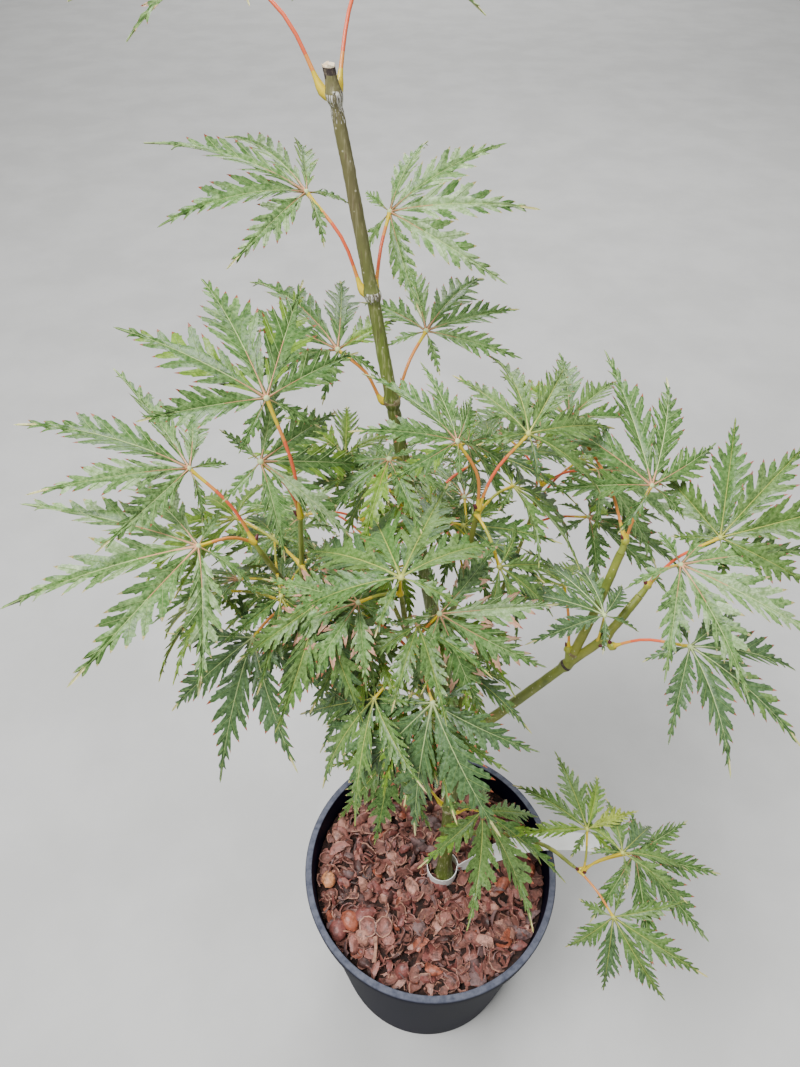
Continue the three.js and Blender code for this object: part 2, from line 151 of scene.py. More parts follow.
class Route:
    """A smooth centripetal curve through points, read by the fraction of its length."""

    DIVISIONS = 200

    def __init__(self, points: Sequence[Sequence[float]]) -> None:
        """Measures the curve through these points."""
        self.points = np.array(points, dtype=float)
        self.steps = np.linspace(0, 1, self.DIVISIONS + 1)
        places = np.array([self._at(t) for t in self.steps])
        spans = np.linalg.norm(np.diff(places, axis=0), axis=1)
        self.lengths = np.concatenate([[0], np.cumsum(spans)])

    @property
    def length(self) -> float:
        """The whole length."""
        return float(self.lengths[-1])

    def _at(self, t: float) -> Array:
        """The point at a plain parameter from 0 to 1."""
        last = len(self.points) - 1
        index = min(int(t * last), last - 1)
        weight = t * last - index
        p1, p2 = self.points[index], self.points[index + 1]
        p0 = self.points[index - 1] if index > 0 else 2 * p1 - p2
        p3 = self.points[index + 2] if index + 2 <= last else 2 * p2 - p1
        d0, d1, d2 = (float(np.dot(b - a, b - a)) ** 0.25 for a, b in ((p0, p1), (p1, p2), (p2, p3)))
        start = ((p1 - p0) / d0 - (p2 - p0) / (d0 + d1) + (p2 - p1) / d1) * d1
        end = ((p2 - p1) / d1 - (p3 - p1) / (d1 + d2) + (p3 - p2) / d2) * d1
        square = -3 * p1 + 3 * p2 - 2 * start - end
        cube = 2 * p1 - 2 * p2 + start + end
        return p1 + start * weight + square * weight**2 + cube * weight**3

    def point(self, fraction: float) -> Array:
        """The point at a fraction of the length."""
        return self._at(float(np.interp(fraction * self.length, self.lengths, self.steps)))

    def tangent(self, fraction: float) -> Array:
        """The unit direction at a fraction of the length."""
        low = max(fraction - 1e-3, 0)
        high = min(fraction + 1e-3, 1)
        return unit(self.point(high) - self.point(low))

    def frames(self, fractions: Sequence[float], level: bool = False) -> tuple[Array, Array, Array]:
        """Centres and two cross directions along the curve, which turn as little as they can.

        Args:
            fractions: where along the curve.
            level: keeps the cross directions horizontal.

        Returns:
            The centres, the first and the second cross directions.
        """
        centres = np.array([self.point(f) for f in fractions])
        if level:
            ones = np.ones((len(centres), 1))
            return centres, ones * np.array([1.0, 0, 0]), ones * np.array([0, 1.0, 0])
        tangent = self.tangent(fractions[0])
        helper = np.array([0, 0, 1.0]) if abs(tangent[2]) < 0.9 else np.array([1.0, 0, 0])
        side = unit(np.cross(helper, tangent))
        sides = []
        backs = []
        for fraction in fractions:
            tangent = self.tangent(fraction)
            side = unit(side - tangent * np.dot(side, tangent))
            sides.append(side)
            backs.append(np.cross(tangent, side))
        return centres, np.array(sides), np.array(backs)


@dataclass
class Pile:
    """Triangles with their material numbers, gathered into one mesh."""

    points: list[Array] = field(default_factory=list)
    faces: list[Array] = field(default_factory=list)
    kinds: list[Array] = field(default_factory=list)
    count: int = 0

    def add(self, points: Array, faces: Array, kinds: Array | int) -> None:
        """Adds some triangles.

        Args:
            points: the corners, in millimetres.
            faces: three corner numbers for each triangle.
            kinds: the material number of each triangle, or one for all.
        """
        self.points.append(points)
        self.faces.append(faces + self.count)
        self.kinds.append(np.broadcast_to(np.asarray(kinds), (len(faces),)))
        self.count += len(points)

    def add_tube(
        self, route: "Route", radius_at: Curve, sides: int, rings: Array, kind: int
    ) -> None:
        """Adds a closed tube along a route, all of one material number."""
        points, faces, _ = tube(route, radius_at, sides, rings)
        self.add(points, faces, kind)

    def make(self, name: str, finishes: Sequence["Finish"], angle: float = 50) -> Piece:
        """Makes the gathered triangles one object.

        Args:
            name: the object's name.
            finishes: the finish for each material number.
            angle: faces that meet at less than this are shaded smooth.

        Returns:
            The new object.
        """
        points = np.concatenate(self.points) * MM
        faces = np.concatenate(self.faces).astype(np.int32)
        mesh = bpy.data.meshes.new(name)
        mesh.vertices.add(len(points))
        mesh.vertices.foreach_set("co", points.astype(np.float32).ravel())
        mesh.loops.add(faces.size)
        mesh.loops.foreach_set("vertex_index", faces.ravel())
        mesh.polygons.add(len(faces))
        mesh.polygons.foreach_set("loop_start", np.arange(len(faces), dtype=np.int32) * 3)
        mesh.polygons.foreach_set("material_index", np.concatenate(self.kinds).astype(np.int32))
        mesh.update(calc_edges=True)
        mesh.validate()
        for finish in finishes:
            mesh.materials.append(finish.material())
        piece = add_object(name, mesh)
        smooth(piece, angle)
        return piece


def add_object(name: str, data: bpy.types.ID) -> Piece:
    """Adds an object for a mesh, a light or a camera."""
    made = bpy.data.objects.new(name, data)
    bpy.context.collection.objects.link(made)
    return made


def smooth(piece: Piece, angle: float) -> None:
    """Shades a piece smooth where its faces meet at less than an angle."""
    choose(piece)
    bpy.ops.object.shade_smooth_by_angle(angle=radians(angle))


def choose_none() -> None:
    """Deselects every object."""
    bpy.ops.object.select_all(action="DESELECT")


def choose(piece: Piece) -> None:
    """Makes a piece the only selected and the active object."""
    choose_none()
    piece.select_set(True)
    bpy.context.view_layer.objects.active = piece


def select_all() -> None:
    """Selects all of the mesh that is edited."""
    bpy.ops.mesh.select_all(action="SELECT")


def edit_all() -> None:
    """Starts to edit the active mesh, with all of it selected."""
    bpy.ops.object.mode_set(mode="EDIT")
    select_all()


def end_edit() -> None:
    """Ends the editing of the active mesh."""
    bpy.ops.object.mode_set(mode="OBJECT")


def apply_modifier(piece: Piece, modifier: bpy.types.Modifier) -> None:
    """Applies a modifier to its piece."""
    choose(piece)
    bpy.ops.object.modifier_apply(modifier=modifier.name)


def thicken(piece: Piece, thickness: float, offset: float) -> None:
    """Gives a sheet a wall of this thickness in millimetres: -1 for inwards, 0 for both ways."""
    wall = piece.modifiers.new("wall", "SOLIDIFY")
    wall.thickness = thickness * MM
    wall.offset = offset
    apply_modifier(piece, wall)


def tube(
    route: Route, radius_at: Curve, sides: int, fractions: Sequence[float]
) -> tuple[Array, Array, Array]:
    """A closed round tube along a curve.

    Args:
        route: the curve.
        radius_at: the radius at a fraction of the curve.
        sides: the number of sides.
        fractions: where its rings lie.

    Returns:
        The points, the triangles, and the ring number that each triangle starts at.
    """
    centres, across, back = route.frames(fractions)
    angles = 2 * np.pi * np.arange(sides) / sides
    radii = np.array([radius_at(f) for f in fractions])
    ring = across[:, None] * np.cos(angles)[None, :, None] + back[:, None] * np.sin(angles)[None, :, None]
    points = (centres[:, None] + ring * radii[:, None, None]).reshape(-1, 3)
    faces = []
    rings = []
    for i in range(len(fractions) - 1):
        for k in range(sides):
            a = i * sides + k
            b = i * sides + (k + 1) % sides
            faces += [(a, b, b + sides), (a, b + sides, a + sides)]
            rings += [i, i]
    last = (len(fractions) - 1) * sides
    for k in range(1, sides - 1):
        faces += [(0, k + 1, k), (last, last + k, last + k + 1)]
        rings += [0, len(fractions) - 2]
    return points, np.array(faces), np.array(rings)


# Finishes

# The numbers of the colour sockets on the node that mixes
MIX_UNDER = 6
MIX_OVER = 7
MIX_RESULT = 2


def linear(colour: Colour) -> tuple[float, float, float, float]:
    """An 8-bit screen colour as the linear colour that shaders take."""
    parts = [c / 255 for c in colour]
    r, g, b = (c / 12.92 if c <= 0.04045 else ((c + 0.055) / 1.055) ** 2.4 for c in parts)
    return (r, g, b, 1.0)


@dataclass(frozen=True)
class Finish:
    """A plain finish, for many small pieces whose colours are dealt out piece by piece."""

    name: str
    colour: Colour
    roughness: float = 0.5
    coat: float = 0.0
    shine: float = 0.5

    def material(self) -> bpy.types.Material:
        """The material, made once."""
        material = bpy.data.materials.get(self.name)
        if material:
            return material
        material = bpy.data.materials.new(self.name)
        material.use_nodes = True
        material.diffuse_color = linear(self.colour)
        shader = material.node_tree.nodes["Principled BSDF"]
        shader.inputs["Base Color"].default_value = linear(self.colour)
        shader.inputs["Roughness"].default_value = self.roughness
        shader.inputs["Coat Weight"].default_value = self.coat
        shader.inputs["Specular IOR Level"].default_value = self.shine
        self.dress(material.node_tree, shader)
        return material

    def dress(self, tree: Tree, shader: bpy.types.Node) -> None:
        """Adds the nodes of a patterned finish. A plain one has none."""


def add_node(tree: Tree, kind: str, inputs: dict[str | int, object], **settings: object) -> bpy.types.Node:
    """Adds a shader node and fills its inputs.

    Args:
        tree: the node tree of a material or a group.
        kind: the node's kind, without the word that every kind begins with.
        inputs: for each input, by name or number, a plain value or the socket that feeds it.
        settings: the node's own settings, such as its operation.

    Returns:
        The new node.
    """
    node = tree.nodes.new(f"ShaderNode{kind}")
    for name, value in settings.items():
        setattr(node, name, value)
    for key, value in inputs.items():
        if isinstance(value, bpy.types.NodeSocket):
            tree.links.new(value, node.inputs[key])
        else:
            node.inputs[key].default_value = value
    return node


def ramp(tree: Tree, value: Socket, low: float, high: float, bottom: float = 0, top: float = 1) -> Socket:
    """Maps the range from low to high to the range from bottom to top, and holds it there."""
    inputs = {"Value": value, "From Min": low, "From Max": high, "To Min": bottom, "To Max": top}
    return add_node(tree, "MapRange", inputs).outputs["Result"]


def blend(tree: Tree, share: Socket, under: object, over: object) -> Socket:
    """Mixes one colour over another by a share. Each colour is a plain value or a socket."""
    inputs = {"Factor": share, MIX_UNDER: under, MIX_OVER: over}
    return add_node(tree, "Mix", inputs, data_type="RGBA").outputs[MIX_RESULT]


def place_on_piece(tree: Tree, stretch: Triple = (1, 1, 1), shift: float = 0) -> Socket:
    """The place on the piece, stretched along its axes and shifted."""
    place = add_node(tree, "TexCoord", {}).outputs["Object"]
    inputs = {"Vector": place, "Scale": stretch, "Location": (shift, shift, shift)}
    return add_node(tree, "Mapping", inputs).outputs["Vector"]


def part_along_z(tree: Tree, vector: Socket) -> Socket:
    """The Z part of a vector."""
    return add_node(tree, "SeparateXYZ", {"Vector": vector}).outputs["Z"]


def mottle_group() -> Tree:
    """A node group that mixes two colours by cloudy noise, made once."""
    group = bpy.data.node_groups.get("mottle")
    if group:
        return group
    group = bpy.data.node_groups.new("mottle", "ShaderNodeTree")
    inputs = {"Vector": "Vector", "Scale": "Float", "Low": "Float", "High": "Float"}
    inputs |= {"Colour A": "Color", "Colour B": "Color"}
    outputs = {"Colour": "Color", "Mask": "Float"}
    for way, sockets in (("INPUT", inputs), ("OUTPUT", outputs)):
        for name, kind in sockets.items():
            group.interface.new_socket(name, in_out=way, socket_type=f"NodeSocket{kind}")
    given = group.nodes.new("NodeGroupInput").outputs
    clouds = {"Vector": given["Vector"], "Scale": given["Scale"], "Detail": 6, "Roughness": 0.6}
    noise = add_node(group, "TexNoise", clouds).outputs["Fac"]
    mask = ramp(group, noise, given["Low"], given["High"])
    result = group.nodes.new("NodeGroupOutput").inputs
    group.links.new(blend(group, mask, given["Colour A"], given["Colour B"]), result["Colour"])
    group.links.new(mask, result["Mask"])
    return group


@dataclass(frozen=True)
class Layer:
    """One layer of mottling: its colour, its scale, the noise at which it starts and is full, its stretch."""

    colour: Colour
    scale: float
    low: float
    high: float
    stretch: Triple = (1, 1, 1)
    shift: float = 0

    def lay(self, tree: Tree, under: object) -> tuple[Socket, Socket]:
        """Lays the layer over a colour.

        Args:
            tree: the material's node tree.
            under: the colour under it, as a plain value or a socket.

        Returns:
            The mixed colour, and the share that the layer has in it.
        """
        inputs = {
            "Vector": place_on_piece(tree, self.stretch, self.shift),
            "Scale": self.scale,
            "Low": self.low,
            "High": self.high,
            "Colour A": under,
            "Colour B": linear(self.colour),
        }
        step = add_node(tree, "Group", inputs, node_tree=mottle_group())
        return step.outputs["Colour"], step.outputs["Mask"]


@dataclass(frozen=True, kw_only=True)
class LayeredFinish(Finish):
    """A finish with one or more layers of mottling over its base colour, and a fine relief."""

    layers: tuple[Layer, ...]
    relief_scale: float = 900.0
    relief: float = 0.2
    relief_stretch: Triple = (1, 1, 1)
    relief_depth: float = 0.0004
    rough_spread: float = 0.1

    def dress(self, tree: Tree, shader: bpy.types.Node) -> None:
        """Adds the layers and the relief."""
        colour = linear(self.colour)
        for layer in self.layers:
            colour, mask = layer.lay(tree, colour)
        tree.links.new(self.over(tree, colour), shader.inputs["Base Color"])
        roughest = min(self.roughness + self.rough_spread, 1)
        tree.links.new(ramp(tree, mask, 0, 1, self.roughness, roughest), shader.inputs["Roughness"])
        place = place_on_piece(tree, self.relief_stretch)
        grain = add_node(tree, "TexNoise", {"Vector": place, "Scale": self.relief_scale, "Detail": 4})
        inputs = {"Height": grain.outputs["Fac"], "Strength": self.relief, "Distance": self.relief_depth}
        tree.links.new(add_node(tree, "Bump", inputs).outputs["Normal"], shader.inputs["Normal"])

    def over(self, tree: Tree, colour: Socket) -> Socket:
        """The colour with what lies over the layers. Here nothing does."""
        return colour


@dataclass(frozen=True)
class BarkFinish(LayeredFinish):
    """Bark with pale pores and, between two heights in metres, a change to a browner upper part."""

    pore: Colour = (205, 200, 170)
    pore_scale: float = 260.0
    pore_edge: float = 0.14
    pore_core: float = 0.07
    pore_strength: float = 0.7
    upper: Colour = (120, 110, 80)
    upper_from: float = 2.0
    upper_to: float = 3.0
    upper_strength: float = 0.5

    def over(self, tree: Tree, colour: Socket) -> Socket:
        """Tints the upper part and scatters the pores."""
        place = place_on_piece(tree)
        height = part_along_z(tree, place)
        climb = ramp(tree, height, self.upper_from, self.upper_to, top=self.upper_strength)
        tinted = blend(tree, climb, colour, linear(self.upper))
        cells = add_node(tree, "TexVoronoi", {"Vector": place, "Scale": self.pore_scale}).outputs["Distance"]
        spots = ramp(tree, cells, self.pore_edge, self.pore_core, top=self.pore_strength)
        return blend(tree, spots, tinted, linear(self.pore))


@dataclass(frozen=True)
class PotFinish(LayeredFinish):
    """Black plastic with a mottled painted highlight on the rim, where it faces up."""

    # The two colours of the mottled highlight painted on the up-facing rim
    dull: Colour = (60, 64, 78)
    rim_highlight: Layer = Layer((98, 101, 114), 220, 0.25, 0.6)
    facing_from: float = 0.25
    facing_to: float = 0.95

    def over(self, tree: Tree, colour: Socket) -> Socket:
        """Paints a pale highlight on what faces up at the rim, more in some places than others."""
        facing = part_along_z(tree, add_node(tree, "NewGeometry", {}).outputs["Normal"])
        height = part_along_z(tree, place_on_piece(tree))
        rim_foot = (POT_HEIGHT - RIM_HEIGHT) * MM
        rim_middle = (POT_HEIGHT - RIM_HEIGHT / 2) * MM
        shares = {0: ramp(tree, facing, self.facing_from, self.facing_to)}
        shares[1] = ramp(tree, height, rim_foot, rim_middle)
        # The share of painted highlight: full where the rim's upper part faces up
        highlight_share = add_node(tree, "Math", shares, operation="MULTIPLY").outputs["Value"]
        return blend(tree, highlight_share, colour, self.rim_highlight.lay(tree, linear(self.dull))[0])


BARK_LAYERS = (
    Layer((84, 96, 38), 60, 0.4, 0.65, (1, 1, 0.12)),
    Layer((176, 178, 128), 900, 0.52, 0.72, (1, 1, 0.03), 3.0),
    Layer((82, 72, 46), 800, 0.56, 0.72, (1, 1, 0.05), 7.0),
)
TRUNK_BARK = BarkFinish(
    "trunk_bark",
    (104, 120, 46),
    0.55,
    layers=BARK_LAYERS,
    relief=0.5,
    relief_scale=500,
    relief_stretch=(1, 1, 0.2),
    upper_from=0.58,
    upper_to=0.635,
    upper=(118, 96, 80),
)
CRACKED_BARK = LayeredFinish(
    "cracked_bark",
    (112, 106, 78),
    0.75,
    layers=(
        Layer((222, 219, 210), 1500, 0.49, 0.56, (1, 1, 0.09)),
        Layer((60, 52, 45), 1300, 0.54, 0.62, (1, 1, 0.1), 5.0),
    ),
    relief=0.7,
)
BOUGH_BARK = BarkFinish(
    "bough_bark",
    (124, 134, 52),
    0.5,
    layers=(
        Layer((148, 150, 64), 60, 0.42, 0.68),
        Layer((92, 106, 40), 110, 0.48, 0.72, (1, 1, 0.5), 2.0),
        Layer((104, 82, 52), 420, 0.62, 0.78, (1, 1, 1), 5.0),
    ),
    relief=0.35,
    relief_scale=600,
    pore_scale=330.0,
)
CUT_WOOD = LayeredFinish(
    "cut_wood", (238, 222, 192), 0.7, layers=(Layer((205, 170, 125), 350, 0.4, 0.7),)
)
SCAR_BARK = LayeredFinish(
    "scar_bark", (54, 43, 40), 0.8, layers=(Layer((134, 122, 102), 420, 0.5, 0.68),), relief=0.6
)
NODE_BARK = LayeredFinish(
    "node_bark",
    (168, 164, 120),
    0.7,
    layers=(Layer((118, 98, 66), 260, 0.4, 0.6), Layer((204, 200, 178), 420, 0.55, 0.7, shift=3.0)),
    relief=0.6,
)
POT_PLASTIC = PotFinish(
    "pot_plastic",
    (9, 10, 34),
    0.6,
    shine=0.08,
    layers=(
        Layer((18, 20, 30), 14, 0.35, 0.7, (1, 1, 0.4)),
        Layer((62, 60, 64), 380, 0.7, 0.82, (1, 1, 0.6), 4.0),
    ),
    relief=0.12,
    relief_scale=420,
    rough_spread=0.25,
)
# The compost between the husks: its own dark colour, made darker still as painted shade in the gaps
SOIL_AND_GAP_SHADE = LayeredFinish(
    "dark_crumb_and_gap_shade",
    (38, 24, 20),
    0.95,
    layers=(Layer((72, 44, 36), 260, 0.45, 0.65), Layer((18, 12, 10), 120, 0.5, 0.7, shift=2.0)),
    relief=1.0,
    relief_scale=260,
    relief_depth=0.003,
)
LABEL_PLASTIC = LayeredFinish(
    "label_plastic",
    (252, 252, 250),
    0.4,
    layers=(Layer((240, 240, 236), 70, 0.45, 0.75), Layer((206, 200, 190), 400, 0.7, 0.82, shift=1.0)),
    relief=0.08,
)
FLOOR_PAINT = LayeredFinish(
    "floor_paint", (200, 200, 198), 0.85, layers=(Layer((192, 192, 190), 6, 0.4, 0.6),), relief=0.05
)


class Tone(IntEnum):
    """The greens of the blades, by their place in the list of leaf finishes."""

    # FROST is a paler tone that paints a highlight on a lobe, as if it were tilted to the light
    SILVER, GREY, GREEN, DARK, FRESH, LIME, UNDER, UNDER_WARM, PINK, BLUSH, AMBER, CREAM, FROST = range(13)


def leaf_finish(name: str, colour: Colour, fleck_and_glint: Colour, deep: float = 0.7) -> LayeredFinish:
    """A blade's finish: darker green patches, partly its own tone and partly painted shade, and fine pale
    flecks, partly texture and partly painted glint.

    Args:
        name: the last part of the material's name.
        colour: the blade's main green.
        fleck_and_glint: the pale colour of its flecks, partly painted glint.
        deep: how dark the deeper patches, partly painted shade, are beside the main green.

    Returns:
        The finish, with a fine wrinkled relief.
    """
    # The darker layer is partly painted shade; the fine pale layer is partly painted glint
    shade = tuple(round(part * deep) for part in colour)
    layers = (Layer(shade, 90, 0.4, 0.66), Layer(fleck_and_glint, 620, 0.4, 0.7, shift=4.0))
    return LayeredFinish(
        f"leaf_{name}",
        colour,
        0.34,
        shine=0.36,
        layers=layers,
        relief=0.5,
        relief_scale=700,
        relief_depth=0.0005,
    )


LEAF_FINISHES = [leaf_finish(*row) for row in (
    ("silver", (86, 126, 60), (144, 176, 108)),
    ("grey_green", (68, 107, 46), (116, 150, 84)),
    ("green", (84, 119, 53), (127, 156, 89)),
    ("dark", (65, 96, 53), (102, 132, 85)),
    ("fresh", (102, 140, 40), (140, 170, 66)),
    ("lime", (138, 158, 48), (186, 198, 92)),
    ("under", (112, 136, 80), (150, 170, 120), 0.85),
    ("under_warm", (120, 142, 58), (156, 176, 92), 0.85),
    ("pink", (200, 116, 100), (226, 168, 150)),
    ("blush", (190, 142, 112), (214, 168, 148), 0.85),
    ("amber", (190, 108, 74), (208, 138, 106)),
    ("cream", (214, 200, 128), (232, 222, 172), 0.85),
    # A paler tone that paints a highlight on some lobes of silver leaves
    ("frost", (132, 165, 103), (186, 208, 160), 0.8),
)]


class RibTone(IntEnum):
    """The colours of ribs and veins."""

    PALE, YELLOW, PINK, SIDE, SIDE_DARK = range(5)


RIB_FINISHES = [
    Finish("rib_pale", (198, 213, 148), 0.5),
    Finish("rib_yellow", (196, 200, 104), 0.5),
    Finish("rib_pink", (220, 164, 126), 0.5),
    Finish("rib_side", (168, 191, 126), 0.5),
    Finish("rib_side_dark", (130, 154, 84), 0.5),
]


class StalkTone(IntEnum):
    """The colours along the leaf stalks and on the twigs."""

    YELLOW, ORANGE, RED, GREEN, OLIVE, BUD = range(6)


STALK_FINISHES = [
    Finish("stalk_yellow", (224, 196, 40), 0.42, coat=0.1),
    Finish("stalk_orange", (230, 146, 66), 0.42, coat=0.1),
    Finish("stalk_red", (228, 100, 60), 0.42, coat=0.1),
    Finish("stalk_green", (162, 166, 58), 0.45),
    Finish("twig_olive", (136, 146, 60), 0.5),
    Finish("bud_purple", (92, 36, 40), 0.5),
]


# Leaf patterns


@dataclass(frozen=True)
class Outline:
    """The side lobes of a lobe: their feet on the rib, how far forward and out they reach."""

    feet: tuple[float, ...]
    leads: tuple[float, ...]
    reaches: tuple[float, ...]
    toothed: int
    gap: float = 0.008


FEET = (0.11, 0.2, 0.3, 0.41, 0.53, 0.64, 0.745, 0.845)
LEADS = (0.15, 0.19, 0.2, 0.18, 0.14, 0.11, 0.088, 0.066)
BROAD_OUTLINE = Outline(FEET, LEADS, (0.082, 0.142, 0.178, 0.162, 0.112, 0.07, 0.046, 0.028), 5)
SLIM_OUTLINE = Outline(FEET, LEADS, (0.073, 0.122, 0.15, 0.136, 0.096, 0.063, 0.043, 0.027), 5)
SMALL_OUTLINE = Outline(
    (0.2, 0.36, 0.52, 0.68, 0.83), (0.2, 0.2, 0.16, 0.12, 0.08), (0.1, 0.14, 0.11, 0.07, 0.04), 3
)


class Part(IntEnum):
    """The parts of a lobe: its field, its tips and end, and the two halves of its side lobes by turns."""

    FIELD, TIP, END, NEAR_EVEN, NEAR_ODD, FAR_EVEN, FAR_ODD = range(7)


class Pattern:
    """One lobe laid flat, as fractions of its length, with toothed side lobes and raised ribs.

    A tuple of teeth gives for each margin point its place along the vein and its share of the half width.
    """

    OUTER = ((0.5, 1.0), (0.61, 1.2), (0.65, 0.8), (0.79, 0.8), (0.82, 0.46), (0.88, 0.34))
    INNER = ((0.47, 0.85), (0.62, 0.95), (0.65, 0.62), (0.8, 0.46), (0.87, 0.3))
    PLAIN_OUTER = ((0.55, 0.95), (0.85, 0.4))
    PLAIN_INNER = ((0.6, 0.75), (0.85, 0.34))

    # Where the margin begins, dips and ends
    BASE_HALF = 0.013
    NECK_BACK = 0.03
    NECK_HALF = 0.014
    SINUS = 0.35
    LAST_SINUS = 0.965
    LAST_SHARE = 0.3
    FARTHEST = 0.985
    CLOSEST = 0.004
    FIRST_SPACING = 0.1

    # How much the seed changes
    FOOT_CHANGE = 0.008
    LEAD_CHANGE = 0.1
    OUT_CHANGE = 0.14
    SINUS_CHANGE = 0.15
    TOOTH_CHANGE = 0.2
    CURL_CHANGE = 0.028
    CURL = 0.012

    # Where the vein's two inner points lie, and how far they stand up
    NEAR, NEAR_LIFT = 0.3, 0.003
    FAR, FAR_LIFT, FAR_CURL, FAR_BODY = 0.64, 0.002, 0.4, 0.8
    VEIN_END, VEIN_CURL = 0.6, 0.8
    FIELD_LIFT = 0.011

    # Half widths of the rib and of a vein, at the start and at the end
    RIB = (0.0092, 0.0026)
    VEIN = (0.004, 0.0013)

    def __init__(self, outline: Outline, seed: int) -> None:
        """Draws the lobe.

        Args:
            outline: the lobe's side lobes.
            seed: makes each pattern a little different.
        """
        self.random = Draws(seed)
        self.outline = outline
        self.spots: list[tuple[float, float, float, float]] = []
        self.faces: list[tuple[int, int, int]] = []
        self.parts: list[int] = []
        self.rib_spots: list[tuple[float, float, float, float]] = []
        self.rib_faces: list[tuple[int, int, int]] = []
        self.rib_kinds: list[int] = []
        rib = [self.spot(s, 0, 0, float(s > 0)) for s in (0, *outline.feet)]
        rib.append(self.spot(1, 0, 0, 0))
        self.ridge([(s, 0.0, 0.0) for s in (0, *outline.feet, self.FARTHEST)], self.RIB, 0)
        for side in (1, -1):
            self.half(side, rib)
        self.flat = np.array(self.spots)
        self.triangles = np.array(self.faces)
        self.part = np.array(self.parts)
        self.ribs = np.array(self.rib_spots)
        self.rib_triangles = np.array(self.rib_faces)
        self.rib_kind = np.array(self.rib_kinds)
        self.rib_along = self.ribs[self.rib_triangles[:, 0], 0]

    def spot(self, s: float, w: float, lift: float, body: float) -> int:
        """Adds a point: along, across, its bulge, and 1 inside or 0 on the outline."""
        self.spots.append((s, w, lift, body))
        return len(self.spots) - 1

    def fan(self, loop: Sequence[int], part: int, side: int) -> None:
        """Adds the triangles of a polygon from its first corner."""
        for a, b in zip(loop[1:], loop[2:]):
            self.faces.append((loop[0], a, b) if side > 0 else (loop[0], b, a))
            self.parts.append(part)

    def plan(self) -> tuple[list[Array], list[Array], list[Array]]:
        """Places the side lobes of one half.

        Returns:
            The foot of each on the rib, its tip, and the sinus beyond it.
        """
        o = self.outline
        feet = [np.array([s + self.FOOT_CHANGE * self.random.draw(), 0]) for s in o.feet]
        goals = []
        for foot, lead, reach in zip(feet, o.leads, o.reaches):
            out = reach * (1 + self.OUT_CHANGE * self.random.draw())
            ahead = foot[0] + lead * (1 + self.LEAD_CHANGE * self.random.draw())
            goals.append(np.array([min(ahead, self.FARTHEST), out]))
        sinuses = []
        for k in range(len(feet) - 1):
            along = (goals[k] - feet[k] + goals[k + 1] - feet[k + 1]) / 2
            change = 1 + self.SINUS_CHANGE * self.random.draw()
            sinuses.append((feet[k] + feet[k + 1]) / 2 + along * self.SINUS * change)
        sinuses.append(np.array([self.LAST_SINUS, self.LAST_SHARE * o.reaches[-1]]))
        return feet, goals, sinuses

    def half(self, side: int, rib: Sequence[int]) -> None:
        """Draws the side lobes, sinuses and side veins on one side of the rib.

        Args:
            side: 1 or -1.
            rib: the numbers of the points along the rib.
        """
        o = self.outline
        feet, goals, sinuses = self.plan()
        base = self.spot(0, side * self.BASE_HALF, 0, 0)
        before = self.spot(o.feet[0] - self.NECK_BACK, side * self.NECK_HALF, 0, 0)
        last = -1
        for k, (foot, goal, sinus) in enumerate(zip(feet, goals, sinuses)):
            line = goal - foot
            square = np.array([-line[1], line[0]]) / np.linalg.norm(line)
            spacing = (o.feet[k] - o.feet[k - 1]) if k else self.FIRST_SPACING
            half = spacing * line[1] / np.linalg.norm(line) / 2 - o.gap / 2
            curl = self.CURL_CHANGE * self.random.draw() - self.CURL
            toothed = k < o.toothed

            def lay(teeth: Sequence[tuple[float, float]], sign: int) -> list[int]:
                """Adds the margin points on one side of the vein, from the foot to the tip."""
                made = []
                for fraction, share in teeth:
                    wide = half * share * (1 + self.TOOTH_CHANGE * self.random.draw())
                    s, w = foot + line * fraction + square * wide * sign
                    made.append(self.spot(s, side * max(w, self.CLOSEST), curl * fraction**2, 0))
                return made

            outer = lay(self.OUTER if toothed else self.PLAIN_OUTER, 1)
            inner = lay(self.INNER if toothed else self.PLAIN_INNER, -1)
            tip = self.spot(goal[0], side * goal[1], curl, 0)
            near, far = (foot + line * fraction for fraction in (self.NEAR, self.FAR))
            low = self.spot(near[0], side * near[1], self.NEAR_LIFT, 1)
            high = self.spot(far[0], side * far[1], self.FAR_LIFT + curl * self.FAR_CURL, self.FAR_BODY)
            cut = self.spot(sinus[0], side * sinus[1], 0, 0)
            if k == 0:
                self.fan([rib[0], rib[1], low, before, base], Part.FIELD, side)
            else:
                self.bulge([rib[k], rib[k + 1], low, before, last], side)
            self.fan([low, cut, inner[0], high, outer[0], before], Part.NEAR_EVEN + k % 2, side)
            self.fan([high, *inner, outer[-1], *reversed(outer[:-1])], Part.FAR_EVEN + k % 2, side)
            self.fan([inner[-1], tip, outer[-1]], Part.TIP, side)
            end = self.spots[high][:2] + (
                np.array([goal[0], side * goal[1]]) - self.spots[high][:2]
            ) * self.VEIN_END
            vein = [(foot[0], 0.0, 0.0), self.spots[low][:3], self.spots[high][:3]]
            self.ridge([*vein, (*end, curl * self.VEIN_CURL)], self.VEIN, 1)
            before = cut
            last = low
        self.fan([last, rib[-2], rib[-1], before], Part.END, side)

    def bulge(self, loop: Sequence[int], side: int) -> None:
        """Fills the field between two side veins, raised in its middle."""
        spots = np.array([self.spots[i] for i in loop])
        middle = self.spot(*spots[:, :2].mean(axis=0), self.FIELD_LIFT, 1)
        self.fan([middle, *loop, loop[0]], Part.FIELD, side)

